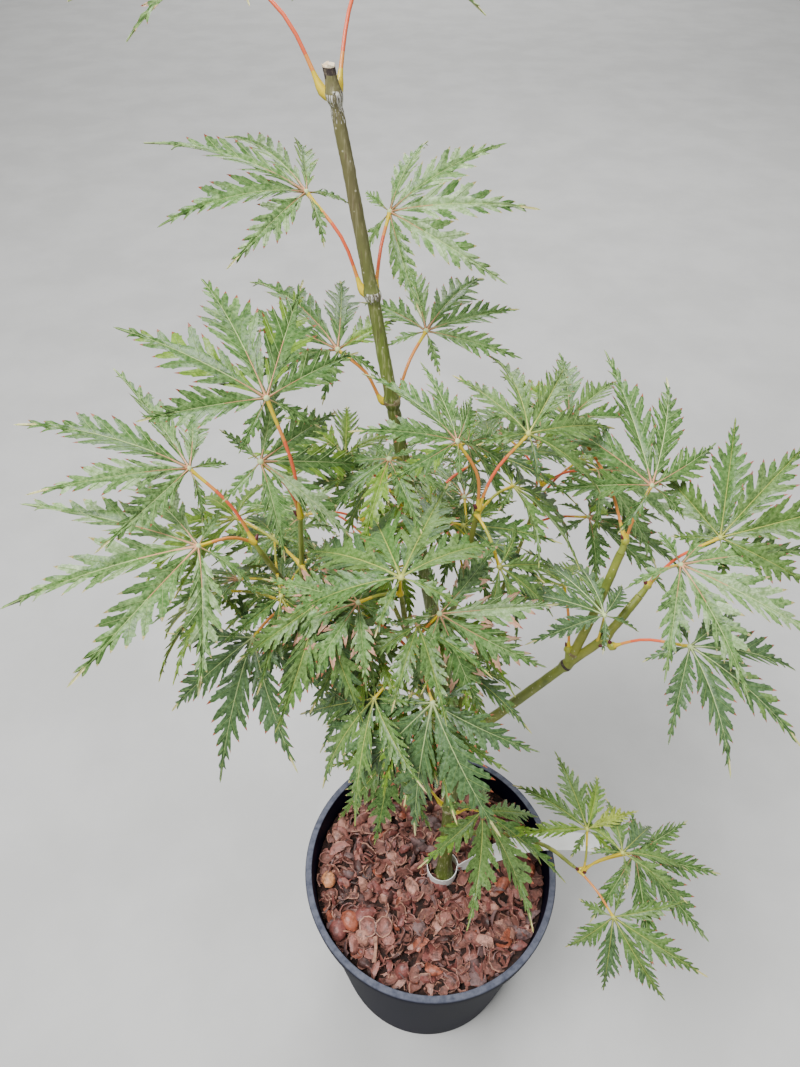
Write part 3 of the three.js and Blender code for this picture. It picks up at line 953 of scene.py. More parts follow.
    def ridge(
        self, line: Sequence[Triple], halves: tuple[float, float], kind: int
    ) -> None:
        """Adds a rib with a diamond section, which stands out on both faces of the blade.

        Args:
            line: places along and across, with the blade's own bulge there.
            halves: half the rib's width at its start and at its end.
            kind: 0 for the lobe's own rib, 1 for a side vein.
        """
        places = np.array(line)
        heading = np.gradient(places[:, :2], axis=0)
        heading /= np.linalg.norm(heading, axis=1)[:, None]
        left = np.stack([-heading[:, 1], heading[:, 0]], axis=1)
        first = len(self.rib_spots)
        for place, out, half in zip(places, left, np.linspace(*halves, len(places))):
            for offset, lift in ((1, 0), (0, 1), (-1, 0), (0, -1)):
                s, w = place[:2] + out * half * offset
                self.rib_spots.append((s, w, place[2], lift * half))
        for i in range(len(places) - 1):
            a = first + 4 * i
            for k in range(4):
                b, c = a + k, a + (k + 1) % 4
                self.rib_faces += [(b, c, c + 4), (b, c + 4, b + 4)]
        last = first + 4 * (len(places) - 1)
        self.rib_faces += [(first, first + 2, first + 1), (first, first + 3, first + 2)]
        self.rib_faces += [(last, last + 1, last + 2), (last, last + 2, last + 3)]
        self.rib_kinds += [kind] * (len(self.rib_faces) - len(self.rib_kinds))


BROAD_PATTERNS = [Pattern(BROAD_OUTLINE, seed) for seed in (3, 8, 15, 21)]
SLIM_PATTERNS = [Pattern(SLIM_OUTLINE, seed) for seed in (34, 55, 60, 72)]
SMALL_PATTERNS = [Pattern(SMALL_OUTLINE, seed) for seed in (5, 9)]


@dataclass(frozen=True)
class LobeForm:
    """How one lobe lies in space."""

    hub: Array
    direction: Array
    across: Array
    normal: Array
    reach: float
    bend: float
    fold: float
    twist: float
    sweep: float

    def place(self, s: Array, w: Array, lift: Array) -> Array:
        """Lays points of the flat lobe into space.

        Args:
            s: how far along the rib, as a fraction of the lobe.
            w: how far across, as a fraction of the lobe.
            lift: how far above the blade, in millimetres.

        Returns:
            One point for each, in millimetres.
        """
        turn = self.bend * s
        out = self.reach * np.sin(turn) / self.bend
        drop = self.reach * (1 - np.cos(turn)) / self.bend
        up = np.cos(turn)[:, None] * self.normal + np.sin(turn)[:, None] * self.direction
        roll = (self.twist * s)[:, None]
        side = np.cos(roll) * self.across + np.sin(roll) * up
        top = np.cos(roll) * up - np.sin(roll) * self.across
        width = (w * self.reach * cos(self.fold))[:, None]
        rise = (np.abs(w) * self.reach * sin(self.fold) + lift)[:, None]
        shift = (self.sweep * self.reach * s**2)[:, None]
        path = self.hub + out[:, None] * self.direction - drop[:, None] * self.normal + shift * self.across
        return path + width * side + rise * top


@dataclass(frozen=True)
class Leaf:
    """One leaf: its stalk's and blade's directions, its roll, size and stalk length, and its colours."""

    stalk_heading: float
    stalk_rise: float
    heading: float
    rise: float
    roll: float
    size: float
    stalk: float
    tone: Tone = Tone.GREY
    tips: Tone = Tone.AMBER
    stalk_tone: StalkTone = StalkTone.RED
    broad: bool = False

    def hub(self, foot: Array) -> Array:
        """Where its stalk ends, from the place where it starts."""
        length = STALK_LENGTH * self.stalk
        return foot + towards(self.stalk_heading, self.stalk_rise) * length

    def bow(self, foot: Array) -> Array:
        """The middle of its stalk, which bows up a little."""
        length = STALK_LENGTH * self.stalk
        rise = min(self.stalk_rise + STALK_BOW, STEEPEST_BOW)
        return foot + towards(self.stalk_heading, rise) * (length / 2)


@dataclass(frozen=True)
class Rule:
    """Leaves that follow the usual rule of a shoot."""

    count: int
    heading: float
    seed: int

    SPREADS = (85, 35)
    STALK_RISE = 35
    BLADE_RISE = -5
    TONES = (Tone.GREEN, Tone.GREY, Tone.SILVER)
    SIZE = 0.95
    STALK = 0.9

    def leaves(self) -> list[Leaf]:
        """Opposite pairs that turn a quarter from node to node."""
        random = Draws(self.seed)
        made = []
        for k in range(self.count):
            side = -1 if k % 2 else 1
            turn = self.heading + side * self.SPREADS[k // 2 % 2] + 10 * random.draw()
            rise = self.STALK_RISE + 15 * random.draw()
            heading = turn + 8 * random.draw()
            blade = self.BLADE_RISE + 12 * random.draw()
            made.append(Leaf(turn, rise, heading, blade, 0, self.SIZE, self.STALK, self.TONES[k % 3]))
        return made


@dataclass(frozen=True)
class Mass:
    """A mass of foliage: the region it belongs to, what it grows on, and its leaves."""

    name: str
    region: str
    leaves: tuple[Leaf, ...] = ()
    collar: float = 0.0
    limb: str = ""
    at: float = 1.0
    stem: Triple = (0, 0, 0)
    rule: Rule | None = None
    skipped: tuple[int, ...] = ()


SILVER, GREY, GREEN, DARK = Tone.SILVER, Tone.GREY, Tone.GREEN, Tone.DARK
FRESH, LIME, PINK, AMBER, CREAM = Tone.FRESH, Tone.LIME, Tone.PINK, Tone.AMBER, Tone.CREAM
S_YELLOW, S_ORANGE, S_GREEN = StalkTone.YELLOW, StalkTone.ORANGE, StalkTone.GREEN

MASSES = [
    Mass(
        "leaves_leader_top", "leader", collar=676,
        leaves=(
            Leaf(150, 45, 155, 5, 0, 0.85, 1.15, SILVER, PINK),
            Leaf(75, 42, 60, 5, 0, 0.85, 1.15, GREY, PINK),
        ),
    ),
    Mass(
        "leaves_leader_upper", "leader", collar=602,
        leaves=(
            Leaf(145, 52, 175, 30, -10, 0.85, 1, SILVER),
            Leaf(75, 45, -15, 18, 40, 0.8, 0.75, SILVER, CREAM),
        ),
    ),
    Mass(
        "leaves_leader_lower", "leader", collar=552,
        leaves=(
            Leaf(172, 52, 125, 26, 5, 0.9, 0.7, GREY, AMBER, S_ORANGE),
            Leaf(60, 37, 60, 20, 15, 0.8, 0.75, SILVER, AMBER, S_ORANGE),
        ),
    ),
    Mass(
        "leaves_leader_foot", "leader", collar=490,
        leaves=(
            Leaf(150, 30, 125, 5, 0, 0.8, 0.9, FRESH),
            Leaf(30, 25, 50, 0, 0, 0.85, 1, GREEN),
        ),
    ),
    Mass(
        "leaves_left_tip", "left", limb="bough_left", stem=(150, 65, 4),
        leaves=(
            Leaf(160, 54, 175, 35, -5, 0.95, 1, SILVER, AMBER),
            Leaf(-136, 31, -147, 15, -15, 1.05, 0.7, SILVER, CREAM, S_ORANGE),
        ),
    ),
    Mass(
        "leaves_left_low", "left", limb="bough_left", at=0.8, stem=(-125, 30, 8),
        leaves=(
            Leaf(-126, 0, -112, -34, 0, 0.95, 0.6, DARK, AMBER, S_ORANGE),
            Leaf(170, 5, 165, -35, 0, 0.9, 0.8, FRESH, CREAM, S_GREEN),
        ),
    ),
    Mass(
        "leaves_left_upper", "left", limb="bough_left", at=0.78, stem=(-67, 76, 84),
        leaves=(
            Leaf(150, 20, 160, -15, 0, 0.85, 0.9, FRESH, CREAM, S_GREEN),
            Leaf(-70, 10, -62, -35, 0, 0.85, 0.7, GREEN, AMBER, S_GREEN),
            Leaf(142, 79, 120, 38, 0, 0.9, 1.3, GREY, AMBER, broad=True),
            Leaf(179, 66, 20, -15, 38, 0.8, 0.75, SILVER, CREAM),
        ),
    ),
    Mass(
        "leaves_centre", "centre", limb="bough_centre", stem=(-110, 70, 5),
        leaves=(
            Leaf(-89, 60, 107, 2, -10, 0.95, 0.75, GREEN, AMBER, S_YELLOW, broad=True),
            Leaf(-160, 5, -164, -10, -30, 0.72, 0.45, SILVER, PINK, S_GREEN, True),
        ),
    ),
    Mass(
        "leaves_centre_upper", "centre", limb="bough_upper_right", stem=(-60, 80, 5),
        leaves=(
            Leaf(-62, -36, -10, -35, 20, 0.6, 0.6, GREEN, CREAM, S_GREEN),
            Leaf(50, -6, 20, -30, 0, 0.8, 0.7, GREEN, AMBER, S_GREEN),
            Leaf(176, 73, 150, 38, 0, 0.65, 0.9, GREY, AMBER, S_ORANGE),
            Leaf(25, 58, 60, 11, 30, 0.85, 0.95, GREEN, AMBER),
        ),
    ),
    Mass(
        "leaves_front", "centre", limb="bough_front", stem=(-90, 75, 6),
        leaves=(
            Leaf(-72, -2, -107, -40, 10, 0.95, 0.55, DARK, AMBER, S_ORANGE, broad=True),
            Leaf(-140, -16, -150, -42, 0, 0.85, 0.6, GREEN, CREAM, S_GREEN),
            Leaf(158, 35, -156, -8, -40, 0.7, 0.75, GREEN, CREAM),
            Leaf(3, 72, -21, -22, 42, 0.8, 0.75, SILVER, PINK, S_ORANGE, broad=True),
        ),
    ),
    Mass(
        "leaves_right_inner", "right", limb="bough_right", at=0.68, stem=(110, 70, 9),
        leaves=(Leaf(100, 55, 108, -22, 0, 0.65, 0.8, FRESH, CREAM, S_ORANGE),),
    ),
    Mass(
        "leaves_right_fork", "right", limb="bough_right", at=0.82, stem=(-60, 20, 8),
        leaves=(Leaf(-33, 35, -39, -3, 5, 0.9, 0.95, DARK, AMBER),),
    ),
    Mass(
        "leaves_right_upper", "right", limb="bough_right_side", stem=(60, 75, 4),
        leaves=(
            Leaf(46, 66, 109, 40, 0, 1, 0.7, GREY, AMBER, S_ORANGE),
            Leaf(126, 43, 85, 10, 0, 0.8, 1.5, GREY, AMBER, S_ORANGE),
        ),
    ),
    Mass(
        "leaves_right_outer", "right", limb="bough_right", stem=(30, 65, 4),
        leaves=(
            Leaf(-2, 53, 30, 45, 20, 0.9, 1, GREEN, PINK, broad=True),
            Leaf(-52, 64, -34, 2, 18, 1, 0.65, SILVER, CREAM, S_ORANGE),
        ),
    ),
    Mass(
        "leaves_low_right", "low", limb="bough_low_right", stem=(-40, 40, 5),
        leaves=(
            Leaf(-56, -10, -64, -20, 35, 0.85, 0.75, GREEN, AMBER, S_ORANGE),
            Leaf(11, 16, -45, -20, 18, 0.95, 0.85, GREY, AMBER, S_YELLOW),
            Leaf(88, 60, 101, 4, 0, 0.8, 0.7, FRESH, CREAM, S_GREEN),
            Leaf(-2, 57, 45, -20, 0, 0.8, 0.8, GREEN, AMBER, S_YELLOW),
        ),
    ),
    Mass(
        "leaves_low_front", "low", collar=240,
        leaves=(
            Leaf(-33, 50, -60, -5, -25, 1.05, 0.6, GREEN, AMBER, S_YELLOW, broad=True),
            Leaf(154, 43, -97, -30, 0, 0.8, 1.2, GREEN, CREAM, S_GREEN, broad=True),
        ),
    ),
    Mass("leaves_back_left", "back", limb="bough_back_left", stem=(115, 45, 40), rule=Rule(6, 115, 21)),
    Mass(
        "leaves_back_right", "back", limb="bough_back_right", stem=(62, 45, 40),
        rule=Rule(6, 58, 22), skipped=(0,),
    ),
]


# Limbs


class Trunk:
    """The leaning leader: its route and its radius."""

    route = Route(TRUNK_AXIS)

    def radius(self, fraction: float, angle: float = 0.0) -> float:
        """The radius at a fraction of the trunk and an angle round it."""
        height = (TRUNK_AXIS[-1][2] - TRUNK_FOOT) * fraction
        flare = FLARE_RADIUS * exp(-height / FLARE_HEIGHT)
        lobes = 1 + FLARE_LOBES * cos(FLARE_ROOTS * angle)
        return TRUNK_FOOT_RADIUS + (TRUNK_TIP_RADIUS - TRUNK_FOOT_RADIUS) * fraction + flare * lobes

    def fraction(self, z: float) -> float:
        """The fraction along the trunk at which it reaches a height."""
        low, high = 0.0, 1.0
        for _ in range(20):
            middle = (low + high) / 2
            if self.route.point(middle)[2] < z:
                low = middle
            else:
                high = middle
        return low

    def at(self, z: float) -> Array:
        """The trunk's middle at a height."""
        return self.route.point(self.fraction(z))


TRUNK = Trunk()


@dataclass(frozen=True)
class Bough:
    """One tapering bough: its axis, foot and tip radius, and where its old nodes lie."""

    name: str
    axis: tuple
    radii: tuple[float, float]
    nodes: tuple[float, ...] = ()
    scarred: bool = False

    @property
    def route(self) -> Route:
        """The bough's axis as a curve."""
        return Route([TRUNK.at(p) if isinstance(p, (int, float)) else p for p in self.axis])


BOUGHS = {bough.name: bough for bough in (
    Bough(
        "bough_right",
        (310, (38, 12, 358), (70, 9, 411), (86, 11, 431), (103, 22, 452)),
        (3.6, 2.2),
        (0.665, 0.84),
        scarred=True,
    ),
    Bough("bough_right_side", ((70, 9, 411), (80, 18, 444), (89, 28, 478)), (2.6, 2.2), (0.1,)),
    Bough(
        "bough_left",
        (262, (-16, 28, 318), (-48, 33, 378), (-74, 22, 443), (-88, 7, 500)),
        (2.4, 1.4),
        (0.5, 0.79),
    ),
    Bough("bough_centre", (340, (-8, 18, 400), (-19, 0, 450), (-22, -9, 484)), (2.2, 1.3), (0.5,)),
    Bough("bough_front", (286, (4, 2, 340), (-10, -12, 400), (-15, -18, 446)), (2.2, 1.3), (0.6,)),
    Bough("bough_upper_right", (396, (9, 29, 450), (13, 23, 506)), (2.0, 1.3), (0.55,)),
    Bough("bough_low_right", (205, (46, 0, 220), (78, -16, 234), (93, -32, 240)), (2.0, 1.2), (0.6,)),
    Bough("bough_back_left", (300, (-12, 62, 345), (-34, 92, 385)), (2.2, 1.3), (0.5,)),
    Bough("bough_back_right", (330, (34, 68, 372), (54, 104, 405)), (2.2, 1.3), (0.5,)),
)}


@dataclass
class BarkLimb:
    """A limb with bark relief, rolled from a flat grid."""

    name: str
    route: Route
    radius_at: Callable[[float, float], float]
    finishes: tuple[Finish, ...]
    sides: int = 20
    ring_step: float = 1.6
    level: bool = False
    relief: float = 0.25
    nodes: tuple[float, ...] = ()
    scar: float = 0.9
    cracks: tuple[float, ...] = ()
    cut: bool = False

    # A node's ring and the groove under it: how far out, and how long, in millimetres
    RING_OUT, RING_LENGTH = 1.0, 2.6
    GROOVE_IN, GROOVE_LENGTH, GROOVE_BELOW = 0.35, 0.9, 4
    # Two sizes of noise in metres, and the share of the relief that each carves
    CARVINGS = (("lumps", 0.006, 1), ("cracks", 0.0016, 0.5))
    NODE_ROOM = 12
    # The pruned end in metres: its pale face, the dark band under it, and how uneven it is
    CUT_FACE, CUT_BAND, CUT_UNEVEN = 0.0008, 0.0042, 0.0011

    def swelling(self, along: float) -> float:
        """How far the limb swells at this length from its foot, in millimetres."""
        total = 0.0
        for node in self.nodes:
            away = along - node * self.route.length
            ring = self.RING_OUT * exp(-((away / self.RING_LENGTH) ** 2))
            groove = self.GROOVE_IN * exp(-(((away + self.GROOVE_BELOW) / self.GROOVE_LENGTH) ** 2))
            total += ring - groove
        return total

    def make(self) -> Piece:
        """Rolls the grid, closes its ends, and carves the relief with a displacement.

        Returns:
            The finished limb.
        """
        rings = max(int(self.route.length / self.ring_step), 8)
        choose_none()
        bpy.ops.mesh.primitive_grid_add(x_subdivisions=self.sides, y_subdivisions=rings, size=1)
        limb = bpy.context.active_object
        limb.name = self.name
        self._roll(limb.data, rings)
        edit_all()
        bpy.ops.mesh.remove_doubles(threshold=0.00001)
        bpy.ops.mesh.select_all(action="DESELECT")
        bpy.ops.mesh.select_non_manifold(
            use_boundary=True, use_wire=False, use_multi_face=False, use_non_contiguous=False, use_verts=False
        )
        bpy.ops.mesh.edge_face_add()
        select_all()
        bpy.ops.mesh.normals_make_consistent(inside=False)
        end_edit()
        self._carve(limb)
        for finish in self.finishes:
            limb.data.materials.append(finish.material())
        self._mark_scars(limb.data)
        if self.cut:
            self._mark_cut(limb.data)
        smooth(limb, 50)
        return limb

    def _roll(self, mesh: bpy.types.Mesh, rings: int) -> None:
        """Bends the flat grid into rings along the route."""
        spots = np.empty(len(mesh.vertices) * 3, dtype=np.float32)
        mesh.vertices.foreach_get("co", spots)
        spots = spots.reshape(-1, 3)
        columns = np.rint((spots[:, 0] + 0.5) * self.sides).astype(int)
        rows = np.rint((spots[:, 1] + 0.5) * rings).astype(int)
        fractions = np.linspace(0, 1, rings + 1)
        centres, across, back = self.route.frames(fractions, self.level)
        angles = 2 * np.pi * (columns % self.sides) / self.sides
        swell = np.array([self.swelling(f * self.route.length) for f in fractions])
        radii = np.array([self.radius_at(fractions[r], a) for r, a in zip(rows, angles)]) + swell[rows]
        placed = (
            centres[rows]
            + across[rows] * (radii * np.cos(angles))[:, None]
            + back[rows] * (radii * np.sin(angles))[:, None]
        )
        mesh.vertices.foreach_set("co", (placed * MM).astype(np.float32).ravel())
        mesh.update()

    def _carve(self, limb: Piece) -> None:
        """Displaces the surface by two sizes of noise and applies both."""
        for label, size, share in self.CARVINGS:
            texture = bpy.data.textures.new(f"{self.name}_{label}", "CLOUDS")
            texture.noise_scale = size
            modifier = limb.modifiers.new(label, "DISPLACE")
            modifier.texture = texture
            modifier.texture_coords = "LOCAL"
            modifier.strength = self.relief * share * 2 * MM
            modifier.mid_level = 0.5
            apply_modifier(limb, modifier)

    def _mark_scars(self, mesh: bpy.types.Mesh) -> None:
        """Gives the swollen ring at each node the last finish, and the cracks under it the one before."""
        for index, node in enumerate(self.nodes):
            spot = self.route.point(node)
            along = self.route.tangent(node)
            cracked = self.cracks[index] if index < len(self.cracks) else 0.0
            for face in mesh.polygons:
                away = np.array(face.center) / MM - spot
                height = float(np.dot(away, along))
                if cracked and -cracked < height < self.scar:
                    if -height / cracked < (face.index * 37 % 101) / 101 + 0.25:
                        face.material_index = len(self.finishes) - 2
                elif abs(height) < self.scar and np.linalg.norm(away) < self.NODE_ROOM:
                    face.material_index = len(self.finishes) - 1

    def _mark_cut(self, mesh: bpy.types.Mesh) -> None:
        """Gives the pruned end its pale cut face and the dark band under it."""
        top = max(v.co.z for v in mesh.vertices)
        for face in mesh.polygons:
            if face.center.z > top - self.CUT_FACE:
                face.material_index = 1
            elif face.center.z > top - self.CUT_BAND:
                face.material_index = 2
        for vertex in mesh.vertices:
            if vertex.co.z > top - self.CUT_FACE:
                vertex.co.z -= self.CUT_UNEVEN * (vertex.index * 29 % 7) / 7


# Foliage


@dataclass
class Foliage:
    """All leaves of one region of the crown, gathered as blades, ribs and stalks."""

    region: str
    blades: Pile = field(default_factory=Pile)
    ribs: Pile = field(default_factory=Pile)
    stalks: Pile = field(default_factory=Pile)
    nodes: list[str] = field(default_factory=list)

    FOLD, FOLD_SPREAD = 20, 12
    TWIST_SPREAD = 20
    SWEEP_SPREAD = 0.06
    BROAD_LOBES = 5
    # Draws above these give a lobe another tone, a cream end, a blushed edge or a fresh tone
    NEW_TONE, CREAM_END, BLUSH_EDGE, FRESH_TONE = 0.4, 0.1, -0.6, 0.84
    # How far up its rib a lobe is pink, and how much that varies
    PINK_FOOT, PINK_SPREAD = 0.2, 0.12
    # Half the blade's thickness, how much it thins to the tip, and how far the ribs stand out
    THICK, THINNING, RIB_OUT, RIB_SECTION = 0.3, 0.5, 0.05, 0.7
    # Where a stalk has its rings, and where its colours change
    STALK_RINGS = (0, 0.03, 0.07, 0.11, 0.15, 0.2, 0.3, 0.42, 0.55, 0.68, 0.8, 0.9, 1)
    STALK_CHANGES = (0.12, 0.24, 0.68, 0.8)
    # The rings of small round pieces
    FIVE_RINGS = (0, 0.25, 0.5, 0.75, 1)
    SIX_RINGS = (0, 0.2, 0.4, 0.6, 0.8, 1)
    # Tones that lie near another, so that no two lobes are quite alike
    NEAR = {
        # The frost tone among these paints a highlight on a lobe
        SILVER: (SILVER, Tone.FROST, GREY),
        Tone.FROST: (SILVER, GREY),
        GREY: (GREY, GREY, SILVER, GREEN),
        GREEN: (GREEN, GREEN, GREY, DARK),
        DARK: (DARK, DARK, GREEN),
        FRESH: (FRESH, FRESH, GREEN),
        LIME: (LIME, FRESH),
    }

    def blade(self, hub: Array, leaf: Leaf, random: Draws, fine: Draws) -> list[LobeForm]:
        """Works out how the lobes of one blade lie, with the source's own seeded differences.

        Args:
            hub: where the stalk ends.
            leaf: the leaf's directions and size.
            random: the mass's seeded source.
            fine: a second source for the fold, twist and sweep of each lobe.

        Returns:
            One form for each lobe.
        """
        size = LEAF_SIZE * leaf.size
        ahead = towards(leaf.heading, leaf.rise)
        roll = radians(leaf.roll + ROLL_SPREAD * random.draw())
        level = unit(np.cross([0, 0, 1.0], ahead))
        normal = turned_about(np.cross(ahead, level), ahead, roll)
        left = np.cross(normal, ahead)
        forms = []
        for turn, length in zip(LOBE_TURNS, LOBE_LENGTHS):
            angle = radians(turn + TURN_SPREAD * random.draw())
            reach = size * length * (1 + REACH_SPREAD * random.draw())
            bend = radians(LOBE_BEND * (1 + BEND_SPREAD * random.draw()))
            direction = ahead * cos(angle) + left * sin(angle)
            fold = radians(self.FOLD + self.FOLD_SPREAD * fine.draw())
            twist = radians(self.TWIST_SPREAD * fine.draw())
            sweep = self.SWEEP_SPREAD * fine.draw()
            across = np.cross(normal, direction)
            forms.append(LobeForm(hub, direction, across, normal, reach, bend, fold, twist, sweep))
        return forms

    def add_blade(self, forms: Sequence[LobeForm], leaf: Leaf, fine: Draws) -> None:
        """Adds the lobes of one blade and its ribs to the piles.

        Args:
            forms: how its lobes lie.
            leaf: its colours and outline.
            fine: the source that deals out patterns and tones.
        """
        under = Tone.UNDER_WARM if leaf.tone in (FRESH, LIME) else Tone.UNDER
        rib_tone = RibTone.YELLOW if leaf.tone in (FRESH, LIME, GREEN) else RibTone.PALE
        side_tone = RibTone.SIDE_DARK if leaf.tone in (DARK, GREEN, FRESH) else RibTone.SIDE
        blush = leaf.tips == PINK and leaf.tone == SILVER
        warm_foot = leaf.tone in (SILVER, GREY)
        lobes = BROAD_PATTERNS if leaf.broad else SLIM_PATTERNS
        for index, form in enumerate(forms):
            pattern = fine.pick(lobes if index < self.BROAD_LOBES else SMALL_PATTERNS)
            tone = self.neighbour(leaf.tone, fine) if fine.draw() > self.NEW_TONE else leaf.tone
            second = self.neighbour(tone, fine)
            last = CREAM if fine.draw() > self.CREAM_END else tone
            edge = Tone.BLUSH if blush and fine.draw() > self.BLUSH_EDGE else tone
            part = pattern.part
            even = np.isin(part, (Part.NEAR_EVEN, Part.FAR_EVEN))
            parts = [part == Part.TIP, part == Part.END, even, part == Part.FAR_ODD]
            over = np.select(parts, [leaf.tips, last, second, edge], tone)
            low = np.select(parts[:2], [leaf.tips, last], under)
            s, w, bulge, body = pattern.flat.T
            thick = self.THICK * body * (1 - self.THINNING * s)
            lift = bulge * form.reach
            self.blades.add(form.place(s, w, lift + thick), pattern.triangles, over)
            self.blades.add(form.place(s, w, lift - thick), pattern.triangles[:, ::-1], low)
            s, w, bulge, half = pattern.ribs.T
            stand = np.sign(half) * (self.THICK * (1 - self.THINNING * s) + self.RIB_OUT)
            lift = bulge * form.reach + (stand + half * form.reach * self.RIB_SECTION)
            foot = self.PINK_FOOT + self.PINK_SPREAD * fine.draw() if warm_foot else 0.0
            veins = [pattern.rib_kind == 1, pattern.rib_along < foot]
            dealt = np.select(veins, [side_tone, RibTone.PINK], rib_tone)
            self.ribs.add(form.place(s, w, lift), pattern.rib_triangles, dealt)
        self._add_hub(forms[0], rib_tone)

    def neighbour(self, tone: Tone, fine: Draws) -> Tone:
        """A tone that lies near another, or now and then a fresh one."""
        if fine.draw() > self.FRESH_TONE:
            return LIME if tone == FRESH else FRESH
        return fine.pick(self.NEAR[tone])

    def _add_hub(self, form: LobeForm, tone: int) -> None:
        """Adds the small knob where the ribs meet."""
        route = Route([form.hub + form.normal * step for step in (-1.3, 0, 1.2)])
        self.ribs.add_tube(route, lambda f: 1.5 * sin(pi * (0.12 + 0.76 * f)), 8, self.FIVE_RINGS, tone)

    def add_bud(self, foot: Array, direction: Array) -> None:
        """Adds one small pointed bud."""
        route = Route([foot + direction * step for step in (0, 2, 4.6)])
        self.stalks.add_tube(
            route, lambda f: 1.25 * sin(pi * (0.25 + 0.72 * f)), 6, self.FIVE_RINGS, StalkTone.BUD
        )

    def add_stalk(
        self, path: Sequence[Array], leaf: Leaf, slim: float = 1.0, foot: float = 1.0, seat: float = 0
    ) -> None:
        """Adds one stalk, swollen at its foot and coloured along its length.

        Args:
            path: the points that it follows.
            leaf: its leaf.
            slim: its thickness beside the usual one.
            foot: how far its foot swells, as a share of its radius.
            seat: the fraction of its length at which it leaves the limb.
        """

        def radius(f: float) -> float:
            """The stalk's radius at a fraction of its length."""
            bulb = foot * exp(-(((f - seat) / 0.08) ** 2))
            return STALK_RADIUS * slim * (0.86 + bulb + 0.3 * exp((f - 1) / 0.05))

        points, faces, rings = tube(Route(path), radius, 7, self.STALK_RINGS)
        starts = np.array(self.STALK_RINGS)[rings]
        pale = leaf.stalk_tone in (StalkTone.GREEN, StalkTone.YELLOW)
        between = StalkTone.YELLOW if pale else StalkTone.ORANGE
        yellow, low, middle, high = self.STALK_CHANGES
        kinds = np.select(
            [starts < yellow + seat / 2, starts < low, starts < middle, starts < high],
            [StalkTone.YELLOW, between, leaf.stalk_tone, between],
            StalkTone.YELLOW,
        )
        self.stalks.add(points, faces, kinds)

    def add_stem(self, route: Route, radius: float) -> None:
        """Adds a twig that tapers to seven tenths of its foot."""
        fractions = np.linspace(0, 1, max(int(route.length / 3), 3))
        self.stalks.add_tube(route, lambda f: radius * (1 - STEM_TAPER * f), 8, fractions, StalkTone.OLIVE)

    def add_node(self, centre: Array, along: Array, radius: float) -> None:
        """Adds the swollen ring of a node."""
        route = Route([centre + along * step for step in (-2.2, 0, 2.2)])
        self.stalks.add_tube(
            route, lambda f: radius * (0.85 + 0.7 * sin(pi * f)), 8, self.SIX_RINGS, StalkTone.GREEN
        )

    def finish(self) -> list[Piece]:
        """Makes the three pieces, which stand for the region's solids."""
        blades = self.blades.make(f"blades_{self.region}", LEAF_FINISHES)
        ribs = self.ribs.make(f"ribs_{self.region}", RIB_FINISHES, 80)
        stalks = self.stalks.make(f"stalks_{self.region}", STALK_FINISHES, 60)
        for piece, slot in ((blades, "foliage"), (ribs, "foliage"), (stalks, "bark")):
            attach(piece, "root")
        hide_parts(*self.nodes)
        return [blades, ribs, stalks]


@dataclass(frozen=True)
class Shoot:
    """A finer side shoot inside the crown: its limb, the place on it, and its first heading."""

    region: str
    limb: str
    at: float
    heading: float
    size: float
    tone: Tone


SHOOTS = [Shoot(*row) for row in (
    ("leader", "trunk", 0.56, 250, 0.62, FRESH),
    ("leader", "trunk", 0.62, 160, 0.66, GREEN),
    ("leader", "trunk", 0.68, 240, 0.6, GREY),
    ("centre", "bough_centre", 0.72, 190, 0.62, FRESH),
    ("centre", "bough_centre", 0.86, 280, 0.6, GREEN),
    ("centre", "bough_front", 0.72, 250, 0.62, GREEN),
    ("centre", "bough_front", 0.88, 200, 0.6, FRESH),
    ("centre", "bough_upper_right", 0.62, 300, 0.62, GREEN),
    ("centre", "bough_upper_right", 0.84, 30, 0.6, FRESH),
    ("left", "bough_left", 0.66, 200, 0.6, DARK),
    ("left", "bough_left", 0.92, 80, 0.62, GREEN),
    ("right", "bough_right_side", 0.6, 150, 0.6, FRESH),
    ("left", "bough_left", 0.72, 250, 0.6, GREEN),
    ("left", "bough_left", 0.86, 170, 0.62, GREY),
    ("centre", "bough_centre", 0.62, 230, 0.6, GREEN),
    ("centre", "bough_centre", 0.94, 40, 0.58, GREY),
    ("centre", "bough_front", 0.8, 320, 0.6, DARK),
    ("centre", "bough_front", 0.95, 90, 0.58, GREEN),
    ("centre", "bough_upper_right", 0.74, 190, 0.6, GREY),
    ("right", "bough_right_side", 0.85, 240, 0.58, GREEN),
    ("back", "bough_back_left", 0.62, 60, 0.66, GREEN),
    ("back", "bough_back_left", 0.86, 150, 0.66, GREY),
    ("back", "bough_back_right", 0.62, 20, 0.66, GREEN),
    ("back", "bough_back_right", 0.86, 110, 0.66, GREY),
)]


@dataclass(frozen=True)
class Sprig:
    """One leaf that the photo shows by itself on a bough: its region, limb, place and form."""

    region: str
    limb: str
    at: float
    leaf: Leaf


SPRIGS = [Sprig("right", "bough_right", 0.8, Leaf(245, 76, 128, 15, 8, 0.78, 0.74, DARK, CREAM, S_GREEN))]


